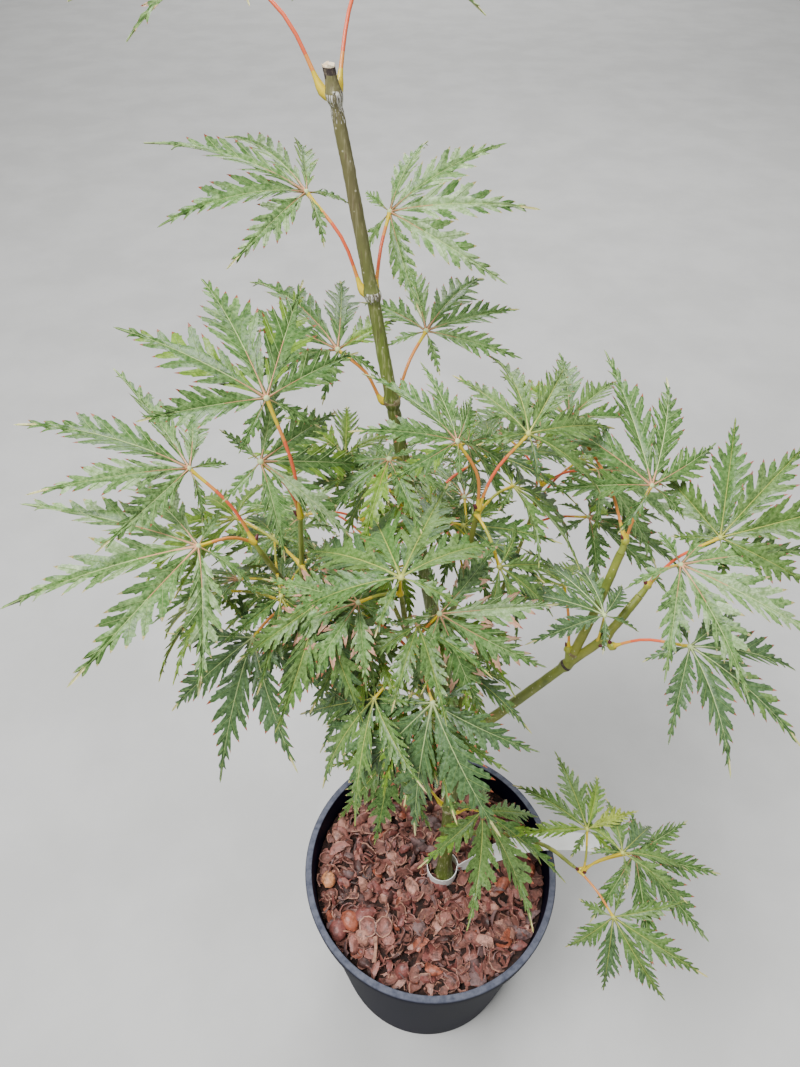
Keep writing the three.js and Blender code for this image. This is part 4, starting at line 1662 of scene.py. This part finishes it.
class Crown:
    """Grows every mass by the source's rule, then the finer shoots between them."""

    CLEARANCE = 2.6
    TRIES = 8
    SAMPLES = 7
    LIMB_SAMPLES = 80
    # How much a shoot's heading varies, and how far it turns at each further try
    SHOOT_SPREAD, RETRY_TURN = 25, 18

    def __init__(self) -> None:
        """Starts with no leaves."""
        self.regions: dict[str, Foliage] = {}
        self.samples: list[Array] = []
        self.boxes = [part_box(mass.name) for mass in MASSES]

    def region(self, name: str) -> Foliage:
        """The foliage of a region, started when it is first asked for."""
        return self.regions.setdefault(name, Foliage(name))

    def grow(self) -> None:
        """Grows the masses and the shoots."""
        for index, mass in enumerate(MASSES):
            self._grow_mass(mass, index)
        for index, sprig in enumerate(SPRIGS):
            self._grow_sprig(sprig, index)
        self._sample_limbs()
        for index, shoot in enumerate(SHOOTS):
            self._grow_shoot(shoot, index)

    def _stem(self, mass: Mass) -> tuple[Route, float]:
        """The stem of a mass on a bough, and its foot radius."""
        bough = BOUGHS[mass.limb]
        route = bough.route
        heading, rise, length = mass.stem
        points = [route.point(mass.at)]
        if mass.at == 1:
            tangent = route.tangent(1)
            points[0] = points[0] + tangent * TIP_GAP
            points.append(points[0] + tangent * STEM_LEAD)
        points.append(points[-1] + towards(heading, rise) * length)
        radius = bough.radii[0] + (bough.radii[1] - bough.radii[0]) * mass.at - STEM_STEP
        return Route(points), radius

    def _grow_mass(self, mass: Mass, index: int) -> None:
        """Grows one mass: its stem, its nodes and its leaves."""
        foliage = self.region(mass.region)
        foliage.nodes.append(mass.name)
        random = Draws(index + 1)
        fine = Draws(index + 101)
        leaves = mass.rule.leaves() if mass.rule else list(mass.leaves)
        nodes = ceil(len(leaves) / 2)
        route, radius = (None, 0.0) if mass.collar else self._stem(mass)
        if route:
            foliage.add_stem(route, radius)
            for k in range(nodes):
                fraction = (k + 1) / nodes
                tapered = radius * (1 - STEM_TAPER * fraction)
                foliage.add_node(route.point(fraction), route.tangent(fraction), tapered)
                foliage.add_bud(route.point(fraction), unit(towards(97 * k + 13 * index, 50)))
        for k, leaf in enumerate(leaves):
            if mass.collar:
                heading = towards(leaf.stalk_heading, 0)
                centre = TRUNK.at(mass.collar)
                trunk_radius = TRUNK.radius(TRUNK.fraction(mass.collar))
                node = centre + heading * (trunk_radius + 1.5 * STALK_RADIUS + 2 * GAP)
                root = centre + heading * (trunk_radius * 0.6) - np.array([0, 0, 1.5])
                path, foot, seat = [root, node], 1.35, 0.07
            else:
                node = route.point((k // 2 + 1) / nodes)
                path, foot, seat = [node], 1.1, 0
            forms = foliage.blade(leaf.hub(node), leaf, random, fine)
            if k in mass.skipped:
                continue
            foliage.add_stalk([*path, leaf.bow(node), leaf.hub(node)], leaf, foot=foot, seat=seat)
            self._add_blade(foliage, forms, leaf, fine)

    def _add_blade(self, foliage: Foliage, forms: Sequence[LobeForm], leaf: Leaf, fine: Draws) -> None:
        """Adds a blade to its foliage, and points along its ribs to the samples."""
        foliage.add_blade(forms, leaf, fine)
        self.samples.append(self._samples(forms))

    def _samples(self, forms: Sequence[LobeForm]) -> Array:
        """Points along the ribs of a blade, in millimetres."""
        s = np.linspace(0.15, 1, self.SAMPLES)
        zero = np.zeros(self.SAMPLES)
        return np.concatenate([form.place(s, zero, zero) for form in forms])

    def _sample_limbs(self) -> None:
        """Adds points along the trunk and boughs to the samples."""
        for route in (TRUNK.route, *(bough.route for bough in BOUGHS.values())):
            places = np.linspace(0, 1, self.LIMB_SAMPLES)
            self.samples.append(np.array([route.point(f) for f in places]))

    def _inside(self, points: Array) -> bool:
        """True if every point lies in the reach of a mass."""
        spots = points * MM
        free = np.zeros(len(spots), dtype=bool)
        for low, high in self.boxes:
            free |= np.all((spots > np.array(low)) & (spots < np.array(high)), axis=1)
        return bool(free.all())

    def _grow_sprig(self, sprig: Sprig, index: int) -> None:
        """Grows one leaf by itself on its bough."""
        foliage = self.region(sprig.region)
        leaf = sprig.leaf
        random = Draws(index + 301)
        foot = BOUGHS[sprig.limb].route.point(sprig.at)
        forms = foliage.blade(leaf.hub(foot), leaf, random, random)
        foliage.add_stalk([foot, leaf.bow(foot), leaf.hub(foot)], leaf, 0.9)
        foliage.add_bud(foot, unit(towards(300, 20)))
        self._add_blade(foliage, forms, leaf, random)

    def _grow_shoot(self, shoot: Shoot, index: int) -> None:
        """Grows a pair of finer leaves at a place on a limb, where they stay clear of the rest."""
        foliage = self.region(shoot.region)
        route = TRUNK.route if shoot.limb == "trunk" else BOUGHS[shoot.limb].route
        foot = route.point(shoot.at)
        random = Draws(index + 201)
        tree = self._tree()
        for k in range(2):
            heading = shoot.heading + 180 * k + self.SHOOT_SPREAD * random.draw()
            for attempt in range(self.TRIES):
                turn = heading + self.RETRY_TURN * attempt * random.draw()
                leaf = Leaf(
                    stalk_heading=turn,
                    stalk_rise=30 + 20 * random.draw(),
                    heading=turn + 20 * random.draw(),
                    rise=-10 + 22 * random.draw(),
                    roll=30 * random.draw(),
                    size=shoot.size,
                    stalk=0.6 + 0.2 * random.draw(),
                    tone=shoot.tone,
                    tips=CREAM,
                    stalk_tone=StalkTone.GREEN,
                )
                forms = foliage.blade(leaf.hub(foot), leaf, random, random)
                samples = self._samples(forms)
                nearest = min(tree.find(Vector(p))[2] for p in samples)
                if nearest < self.CLEARANCE or not self._inside(samples):
                    continue
                foliage.add_stalk([foot, leaf.bow(foot), leaf.hub(foot)], leaf, 0.8)
                self._add_blade(foliage, forms, leaf, random)
                log.info("shoot on %s: leaf %d after %d tries", shoot.limb, k, attempt)
                break

    def _tree(self) -> KDTree:
        """A tree of all samples so far."""
        points = np.concatenate(self.samples)
        tree = KDTree(len(points))
        for i, point in enumerate(points):
            tree.insert(Vector(point), i)
        tree.balance()
        return tree


# Pot, mulch and label


@dataclass
class Pot:
    """The round nursery pot, turned from its outline."""

    segments: int = 144
    lip_round: float = 1.4
    foot_round: float = 1.6
    edge_round: float = 0.7
    foot_recess: float = 1.6
    ring: tuple[float, float] = (7.0, 6.0)
    wall_steps: int = 9
    inner_steps: int = 8
    # How far in from the rim's radius, and how far above its foot or below the pot's top, in millimetres
    rim_start: tuple[tuple[float, float], ...] = ((1.6, 0.0), (0.9, 0.8), (0.6, 4.0))
    lip: tuple[tuple[float, float], ...] = ((3.6, 0.25), (4.2, 0.05))

    def inside(self, z: float) -> float:
        """The radius of the inner wall at a height."""
        top = POT_RADIUS - RIM_WIDTH + POT_WALL
        return POT_FOOT_RADIUS + (top - POT_FOOT_RADIUS) * z / POT_HEIGHT - POT_WALL

    def outline(self) -> list[tuple[float, float]]:
        """The half outline from the middle of the underside, round the wall, to the middle of the floor."""
        rim_foot = POT_HEIGHT - RIM_HEIGHT
        points = [(0.0, self.foot_recess), (POT_FOOT_RADIUS - self.ring[0], self.foot_recess)]
        points.append((POT_FOOT_RADIUS - self.ring[1], 0.0))
        points += self._arc(POT_FOOT_RADIUS - self.foot_round, self.foot_round, self.foot_round, -90, -5)
        for z in np.linspace(8, rim_foot - 2.5, self.wall_steps):
            points.append((self.inside(z) + POT_WALL, float(z)))
        points.append((self.inside(rim_foot) + POT_WALL + 0.4, rim_foot - 0.6))
        points += [(POT_RADIUS - inset, rim_foot + rise) for inset, rise in self.rim_start]
        points += self._arc(POT_RADIUS - self.lip_round, POT_HEIGHT - self.lip_round, self.lip_round, 0, 90)
        points += [(POT_RADIUS - inset, POT_HEIGHT - drop) for inset, drop in self.lip]
        edge = self.edge_round
        points += self._arc(self.inside(POT_HEIGHT) + edge, POT_HEIGHT - edge, edge, 90, 180)
        for z in np.linspace(POT_HEIGHT - 4, POT_FLOOR, self.inner_steps):
            points.append((self.inside(z), float(z)))
        points.append((0.0, POT_FLOOR))
        return points

    def _arc(self, r: float, z: float, radius: float, start: float, end: float) -> list[tuple[float, float]]:
        """Five points of an arc in the outline's plane."""
        angles = np.radians(np.linspace(start, end, 5))
        return [(r + radius * cos(a), z + radius * sin(a)) for a in angles]

    def make(self) -> Piece:
        """Draws the outline by extruding a point, spins it, and merges the seam.

        Returns:
            The finished pot.
        """
        outline = self.outline()
        choose_none()
        bpy.ops.mesh.primitive_plane_add(size=0.001)
        pot = bpy.context.active_object
        pot.name = "nursery_pot"
        edit_all()
        bpy.ops.mesh.merge(type="CENTER")
        bpy.ops.transform.translate(value=(outline[0][0] * MM, 0, outline[0][1] * MM))
        for (r0, z0), (r1, z1) in zip(outline, outline[1:]):
            bpy.ops.mesh.extrude_vertices_move(
                TRANSFORM_OT_translate={"value": ((r1 - r0) * MM, 0, (z1 - z0) * MM)}
            )
        select_all()
        bpy.ops.mesh.spin(steps=self.segments, angle=2 * pi, center=(0, 0, 0), axis=(0, 0, 1))
        select_all()
        bpy.ops.mesh.remove_doubles(threshold=0.00002)
        bpy.ops.mesh.normals_make_consistent(inside=False)
        end_edit()
        pot.data.materials.append(POT_PLASTIC.material())
        smooth(pot, 35)
        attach(pot, "root")
        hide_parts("pot")
        return pot


class HuskTone(IntEnum):
    """The colours of the husks, by their place in the list of husk finishes."""

    BROWN, RED_BROWN, TAN, DARK, GREY, ORANGE, EDGE, INSIDE, CREAM = range(9)


def husk_finish(name: str, colour: Colour, roughness: float = 0.5) -> LayeredFinish:
    """A husk's finish: darker and paler grain over its colour."""
    dark, pale = (tuple(min(round(part * share), 255) for part in colour) for share in (0.62, 1.22))
    layers = (Layer(dark, 230, 0.47, 0.64), Layer(pale, 460, 0.55, 0.68, shift=2.0))
    return LayeredFinish(
        f"husk_{name}", colour, roughness, layers=layers, relief=0.6, relief_scale=520, relief_depth=0.0006
    )


HUSK_FINISHES = [husk_finish(*row) for row in (
    ("brown", (148, 96, 86)),
    ("red_brown", (126, 72, 66), 0.45),
    ("tan", (176, 126, 110)),
    ("dark", (76, 48, 44)),
    ("grey", (116, 90, 88), 0.6),
    ("orange", (156, 86, 64), 0.4),
    ("edge", (172, 126, 106), 0.6),
    ("inside", (124, 80, 70), 0.6),
    ("cream", (200, 136, 94), 0.45),
)]


@dataclass(frozen=True)
class Husk:
    """One husk shape: half width, half length and depth, its cuts as place and direction, and its wall."""

    width: float
    length: float
    depth: float
    cuts: tuple[tuple[float, Triple], ...]
    seed: int
    wall: float = 0.9
    roughness: float = 0.8

    FACING = 0.6
    # How far a point moves, as a share of the roughness, and how much that varies
    MOVE, MOVE_SPREAD = 0.7, 0.3

    def shape(self) -> tuple[Array, Array, Array]:
        """Models the husk from a ball broken by its cuts, and gives it a wall.

        Returns:
            The points in millimetres, the triangles, and 0, 1 or 2 for outside, rim or inside.
        """
        choose_none()
        bpy.ops.mesh.primitive_uv_sphere_add(segments=10, ring_count=7, radius=1)
        shell = bpy.context.active_object
        edit_all()
        for place, normal in self.cuts:
            select_all()
            spot = Vector(normal).normalized() * place
            bpy.ops.mesh.bisect(plane_co=spot, plane_no=normal, clear_outer=True)
        select_all()
        bpy.ops.transform.resize(
            value=(self.width * MM, self.length * MM, self.depth * MM),
            center_override=(0, 0, 0),
            orient_type="GLOBAL",
        )
        end_edit()
        self._roughen(shell.data)
        edit_all()
        bpy.ops.mesh.quads_convert_to_tris()
        end_edit()
        thicken(shell, self.wall, -1)
        mesh = shell.data
        mesh.calc_loop_triangles()
        points = np.array([v.co[:] for v in mesh.vertices]) / MM
        faces = np.array([t.vertices[:] for t in mesh.loop_triangles])
        normals = np.array([t.normal[:] for t in mesh.loop_triangles])
        middles = points[faces].mean(axis=1)
        bpy.data.objects.remove(shell)
        slopes = middles / np.array([self.width, self.length, self.depth]) ** 2
        slopes /= np.linalg.norm(slopes, axis=1)[:, None]
        facing = np.einsum("ij,ij->i", normals, slopes)
        part = np.select([facing > self.FACING, facing < -self.FACING], [0, 2], 1)
        return points - points.mean(axis=0), faces, part

    def _roughen(self, mesh: bpy.types.Mesh) -> None:
        """Moves each point a little, in an order that hangs on the points' places alone."""
        random = Draws(self.seed)
        places = np.array([v.co[:] for v in mesh.vertices]) / MM
        for number in np.lexsort(np.round(places, 2).T):
            aside = towards(180 * random.draw(), degrees(asin(random.draw())))
            places[number] += aside * self.roughness * (self.MOVE + self.MOVE_SPREAD * random.draw())
        mesh.vertices.foreach_set("co", (places * MM).astype(np.float32).ravel())
        mesh.update()


HUSKS = (
    Husk(6.0, 7.4, 4.0, ((0.1, (0.12, 0.2, 1)),), 1),
    Husk(5.2, 9.0, 3.2, ((0.0, (0.1, -0.1, 1)), (0.75, (0, 1, 0))), 2),
    Husk(7.4, 8.4, 4.6, ((0.0, (0, 0.1, 1)), (0.1, (1, 0.3, -0.2))), 3),
    Husk(6.8, 9.8, 4.2, ((-0.1, (0, 0, 1)), (0.35, (0.2, 1, 0.1)), (0.4, (-1, 0.4, 0))), 4),
    Husk(8.4, 7.4, 3.6, ((-0.25, (0.1, 0.1, 1)), (0.2, (-0.6, -1, 0))), 5),
    Husk(6.0, 8.8, 5.0, ((0.15, (0.9, 0.2, 0.6)), (0.3, (-0.2, 0.3, 1))), 6),
    Husk(6.8, 6.2, 2.6, ((-0.35, (0, 0.2, 1)), (0.5, (1, -0.3, 0))), 7),
    Husk(7.6, 9.4, 3.0, ((0.0, (0, -0.2, 1)), (-0.1, (1, 0.2, 0))), 8),
    Husk(5.0, 7.6, 3.8, ((0.2, (0, 0.3, 1)), (-0.2, (-1, 0.5, 0))), 9),
)


@dataclass(frozen=True)
class Find:
    """A husk that stands out: its place, its shape, its turn and its colour."""

    x: float
    y: float
    shape: int
    turn: float
    tone: HuskTone
    size: float = 1.0


FINDS = (
    Find(-78, -7, 0, 0.3, HuskTone.CREAM, 0.9),
    Find(-60, -37, 0, 0.9, HuskTone.ORANGE, 1.15),
    Find(53, -50, 4, 0.4, HuskTone.ORANGE, 1.0),
    Find(39, -52, 3, 1.2, HuskTone.TAN, 1.0),
    Find(-48, -32, 1, 2.0, HuskTone.RED_BROWN, 1.1),
    Find(74, 12, 4, 0.2, HuskTone.RED_BROWN, 1.1),
    Find(-70, -44, 0, 0.2, HuskTone.RED_BROWN, 1.1),
    Find(-8, -42, 6, 0.5, HuskTone.GREY, 1.0),
)


@dataclass
class Mulch:
    """Dry husks heaped on the compost: shells modelled once and dealt over the top."""

    reach: float = 87.6
    spacing: float = 9.6
    trunk_room: float = 10.0
    rim_share: float = 0.3
    wing: tuple[float, float] = (-41.0, -48.0)
    find_level: float = MULCH_LEVEL + 6.4
    wing_level: float = MULCH_LEVEL + 8.5

    # For each course its height over the mulch's level, its spacing and the size of its husks
    COURSES = ((-3.0, 0.8, 1.1), (0.4, 0.82, 1.0), (3.4, 1.0, 1.0), (5.4, 2.1, 0.95))
    ROW_STEP = 0.87
    ASIDE = 3.2
    EDGE_ROOM = 2.5
    STEEP, FLAT = 0.5, 0.16
    # How many husks of each colour there are in so many, from brown to orange
    SHARES = (8, 5, 5, 4, 3, 1)
    # The stalk of the winged piece, as steps from its middle, and its thickness
    WING_STALK = ((0, -1.5, 0.4), (0.6, -8, -0.2), (-0.4, -18, -2))
    WING_RADIUS, WING_WAIST = 1.9, 0.7

    def make(self) -> Piece:
        """Deals the husks over the top in courses, then adds the ones that stand out.

        Returns:
            All husks as one piece.
        """
        random = Draws(77)
        shapes = [husk.shape() for husk in HUSKS]
        pile = Pile()
        foot = TRUNK_AXIS[0]
        weights = [tone for tone, count in zip(HuskTone, self.SHARES) for _ in range(count)]
        for lift, step, size in self.COURSES:
            step *= self.spacing
            count = int(self.reach / step) + 1
            for i in range(-count, count + 1):
                for j in range(-count, count + 1):
                    x = (i + 0.5 * (j % 2)) * step + self.ASIDE * random.draw()
                    y = j * step * self.ROW_STEP + self.ASIDE * random.draw()
                    scale = size * (0.8 + 0.34 * random.draw())
                    spin = [pi * random.draw() for _ in range(3)]
                    steep = random.draw() > 0.2
                    over = random.draw() > 0.25
                    tone = random.pick(weights)
                    shape = random.pick(shapes)
                    z = MULCH_LEVEL + lift + 1.3 * random.draw()
                    if hypot(x, y) > self.reach - self.EDGE_ROOM:
                        continue
                    if hypot(x - foot[0], y - foot[1]) < self.trunk_room:
                        continue
                    tilt = self.STEEP if steep else self.FLAT
                    roll = spin[0] * tilt + pi * over
                    turned = self._turn(shape[0] * scale, roll, spin[1] * tilt, spin[2])
                    self._drop(pile, turned, (x, y, z), shape, tone, random.draw() > self.rim_share)
        for find in FINDS:
            shape = shapes[find.shape]
            turned = self._turn(shape[0] * find.size, pi + 0.2, 0.15, find.turn)
            self._drop(pile, turned, (find.x, find.y, self.find_level), shape, find.tone, True)
        self._winged(pile, shapes[0])
        husks = pile.make("husk_mulch", HUSK_FINISHES, 40)
        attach(husks, "root")
        return husks

    def _drop(
        self,
        pile: Pile,
        points: Array,
        place: Triple,
        shape: tuple[Array, Array, Array],
        tone: HuskTone,
        pale_rim: bool,
    ) -> None:
        """Adds one turned husk at its place, moved in where it would meet the wall.

        Args:
            pile: the pile that it joins.
            points: the turned husk's points.
            place: where its middle lies.
            shape: the husk shape that it comes from.
            tone: its colour.
            pale_rim: gives the broken rim the pale colour.
        """
        spots = points + np.array(place)
        over = np.hypot(spots[:, 0], spots[:, 1]).max() - self.reach
        if over > 0:
            spots -= np.array([place[0], place[1], 0]) / hypot(place[0], place[1]) * over
        inner = HuskTone.BROWN if tone == HuskTone.DARK else HuskTone.INSIDE
        rim = HuskTone.EDGE if pale_rim else inner
        part = shape[2]
        pile.add(spots, shape[1], np.select([part == 0, part == 1], [tone, rim], inner))

    def _winged(self, pile: Pile, shape: tuple[Array, Array, Array]) -> None:
        """Adds the piece with two round wings on a stalk."""
        x, y = self.wing
        level = self.wing_level
        for side in (-1, 1):
            bowl = self._turn(shape[0] * np.array([1.1, 1.05, 0.6]), 0.25, 0.24 * side, -0.42 * side)
            self._drop(pile, bowl, (x + 5.4 * side, y + 5.0, level), shape, HuskTone.DARK, True)
        stalk = Route([(x + dx, y + dy, level + dz) for dx, dy, dz in self.WING_STALK])
        pile.add_tube(
            stalk,
            lambda f: self.WING_RADIUS - self.WING_WAIST * sin(pi * f),
            7,
            Foliage.SIX_RINGS,
            HuskTone.EDGE,
        )

    def _turn(self, points: Array, a: float, b: float, c: float) -> Array:
        """Turns points about X, then Y, then Z."""
        ca, sa, cb, sb, cc, sc = (f(v) for v in (a, b, c) for f in (cos, sin))
        about_x = np.array([[1, 0, 0], [0, ca, -sa], [0, sa, ca]])
        about_y = np.array([[cb, 0, sb], [0, 1, 0], [-sb, 0, cb]])
        about_z = np.array([[cc, -sc, 0], [sc, cc, 0], [0, 0, 1]])
        return points @ (about_z @ about_y @ about_x).T


@dataclass
class Label:
    """The bare strap label: a loop round the trunk's foot and a blade that twists flat over the rim."""

    loop_radius: float = 12.0
    loop_shift: float = 1.5
    loop_narrowing: float = 0.9
    width: float = 12.0
    blade_width: float = 14.0
    lift: float = 1.0
    end: Triple = (132, 9, 181)
    bow: Triple = (0, 8.5, 4.0)
    flat_from: float = 0.42
    wide_from: float = 0.3
    point_from: float = 0.9
    thickness: float = 0.5

    def make(self) -> Piece:
        """Rolls a flat grid into the loop and blade, and gives it its thickness.

        Returns:
            The finished label.
        """
        foot = TRUNK.at(MULCH_LEVEL + self.width / 2)
        level = MULCH_LEVEL + self.lift + self.width / 2
        middle = np.array([foot[0] - self.loop_shift, foot[1] + self.loop_shift, level])
        start = middle + np.array([self.loop_radius - 0.4, 0, 0])
        goal = np.array(self.end)
        loop = self._strip("label_loop", 48, lambda s: self._loop_spot(middle, s))
        blade = self._strip("label_blade", 40, lambda s: self._blade_spot(start, goal, s))
        choose_none()
        loop.select_set(True)
        blade.select_set(True)
        bpy.context.view_layer.objects.active = loop
        bpy.ops.object.join()
        loop.name = "strap_label"
        loop.data.materials.append(LABEL_PLASTIC.material())
        smooth(loop, 40)
        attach(loop, "root")
        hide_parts("label")
        return loop

    def _loop_spot(self, middle: Array, s: float) -> tuple[Array, Array, float]:
        """A place on the loop: its middle, the direction across the strap, and half its width."""
        angle = 2 * pi * s
        radius = self.loop_radius - self.loop_narrowing * s
        spot = middle + radius * np.array([cos(angle), sin(angle), 0])
        return spot, np.array([0, 0, 1.0]), self.width / 2 * (1 - 0.15 * s)

    def _blade_spot(self, start: Array, goal: Array, s: float) -> tuple[Array, Array, float]:
        """A place on the blade, which starts upright, turns flat, and ends in a point."""
        spot = start + (goal - start) * s + np.array(self.bow) * sin(pi * s)
        turn = radians(90 * min(s / self.flat_from, 1) ** 1.3)
        side = np.array([0, sin(turn), cos(turn)])
        half = self.width / 2 + (self.blade_width - self.width) / 2 * min(s / self.wide_from, 1)
        if s >= self.point_from:
            half *= max(sqrt(1 - ((s - self.point_from) / 0.1) ** 2), 0.12)
        return spot, side, half

    def _strip(
        self, name: str, steps: int, spot_at: Callable[[float], tuple[Array, Array, float]]
    ) -> Piece:
        """Bends a flat grid along a line of spots and thickens it.

        Args:
            name: the object's name.
            steps: steps along the strip.
            spot_at: the middle, the direction across and the half width at a fraction.

        Returns:
            The strip with its thickness.
        """
        choose_none()
        bpy.ops.mesh.primitive_grid_add(x_subdivisions=4, y_subdivisions=steps, size=1)
        strip = bpy.context.active_object
        strip.name = name
        for vertex in strip.data.vertices:
            spot, side, half = spot_at(float(np.clip(vertex.co.y + 0.5, 0, 1)))
            vertex.co = Vector((spot + side * (2 * vertex.co.x * half)) * MM)
        thicken(strip, self.thickness, 0)
        return strip


# Stage


@dataclass(frozen=True)
class Lamp:
    """One soft square light: its place and size in metres, its power in watts, and where it aims."""

    name: str
    place: Triple
    size: float
    power: float
    target: Triple = (0, 0, 0.4)

    def make(self) -> None:
        """Adds the light, unseen by the camera."""
        data = bpy.data.lights.new(self.name, "AREA")
        data.size = self.size
        data.energy = self.power
        light = add_object(self.name, data)
        light.location = self.place
        light.visible_camera = False
        aim = Vector(self.target) - Vector(self.place)
        light.rotation_euler = aim.to_track_quat("-Z", "Y").to_euler()


@dataclass
class Studio:
    """The pale floor, the soft lights and the camera."""

    floor_size: float = 16.0
    floor_level: float = -0.0004
    focal_pixels: float = 765.0
    photo_height: float = 1067.0
    sensor: float = 36.0
    pitch: float = 44.2
    camera_place: Triple = (-0.023, -0.2435, 0.756)
    lamps: tuple[Lamp, ...] = (
        Lamp("key", (-0.7, -0.5, 2.2), 0.9, 72),
        Lamp("fill", (1.5, -0.9, 1.7), 1.6, 12),
        Lamp("back", (0.4, 1.9, 2.0), 1.4, 34),
        Lamp("floor", (0, 4.6, 2.6), 3.0, 110, (0, 4.4, 0)),
    )
    room_colour: tuple[float, float, float, float] = (0.93, 0.94, 0.95, 1)
    room_strength: float = 0.25

    def make(self) -> None:
        """Sets up the floor, lights, room and camera."""
        choose_none()
        bpy.ops.mesh.primitive_plane_add(size=self.floor_size, location=(0, 0, self.floor_level))
        floor = bpy.context.active_object
        floor.name = "studio_floor"
        floor.data.materials.append(FLOOR_PAINT.material())
        for lamp in self.lamps:
            lamp.make()
        world = bpy.data.worlds.new("soft_room")
        world.use_nodes = True
        room = world.node_tree.nodes["Background"]
        room.inputs["Color"].default_value = self.room_colour
        room.inputs["Strength"].default_value = self.room_strength
        bpy.context.scene.world = world
        data = bpy.data.cameras.new("photo_camera")
        data.sensor_width = self.sensor
        data.lens = self.sensor * self.focal_pixels / self.photo_height
        data.clip_start = 0.01
        camera = add_object("photo_camera", data)
        camera.location = self.camera_place
        camera.rotation_euler = (radians(90 - self.pitch), 0, 0)
        bpy.context.scene.camera = camera


class Plant:
    """The whole plant in its pot."""

    COLLARS = (676.0, 602.0, 552.0, 490.0, 240.0)

    def build_limbs(self) -> list[Piece]:
        """The trunk and boughs with their bark."""
        nodes = tuple(TRUNK.fraction(z) for z in self.COLLARS)
        trunk = BarkLimb(
            "trunk_bark_limb",
            TRUNK.route,
            TRUNK.radius,
            (TRUNK_BARK, CUT_WOOD, SCAR_BARK, CRACKED_BARK, NODE_BARK),
            sides=28,
            ring_step=1.2,
            level=True,
            relief=0.3,
            nodes=nodes,
            cracks=(9.0, 3.0),
            cut=True,
        )
        made = [self._dressed(trunk, "trunk")]
        for bough in BOUGHS.values():
            foot, tip = bough.radii
            limb = BarkLimb(
                f"{bough.name}_limb",
                bough.route,
                lambda f, a, foot=foot, tip=tip: foot + (tip - foot) * f,
                (BOUGH_BARK, SCAR_BARK if bough.scarred else NODE_BARK),
                sides=16,
                relief=0.2,
                nodes=bough.nodes,
            )
            made.append(self._dressed(limb, bough.name))
        return made

    def _dressed(self, limb: BarkLimb, node: str) -> Piece:
        """Makes a limb and lets it stand for its solid."""
        piece = limb.make()
        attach(piece, "root")
        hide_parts(node)
        return piece

    def build(self) -> list[Piece]:
        """Builds every piece of the plant, its pot and its label."""
        made = [Pot().make(), Mulch().make(), Label().make()]
        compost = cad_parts["mulch"]
        compost.data.materials.clear()
        # The compost takes the dark soil finish that also paints shade in the gaps between husks
        compost.data.materials.append(SOIL_AND_GAP_SHADE.material())
        made += self.build_limbs()
        crown = Crown()
        crown.grow()
        for foliage in crown.regions.values():
            made += foliage.finish()
        return made


def main() -> None:
    """Builds the studio and the plant, and reports each piece."""
    logging.basicConfig(level=logging.INFO, format="%(name)s: %(message)s")
    Studio().make()
    total = 0
    for piece in Plant().build():
        triangles = sum(len(face.vertices) - 2 for face in piece.data.polygons)
        total += triangles
        log.info("%s: %d triangles", piece.name, triangles)
    log.info("total: %d triangles", total)


if __name__ == "__main__":
    main()
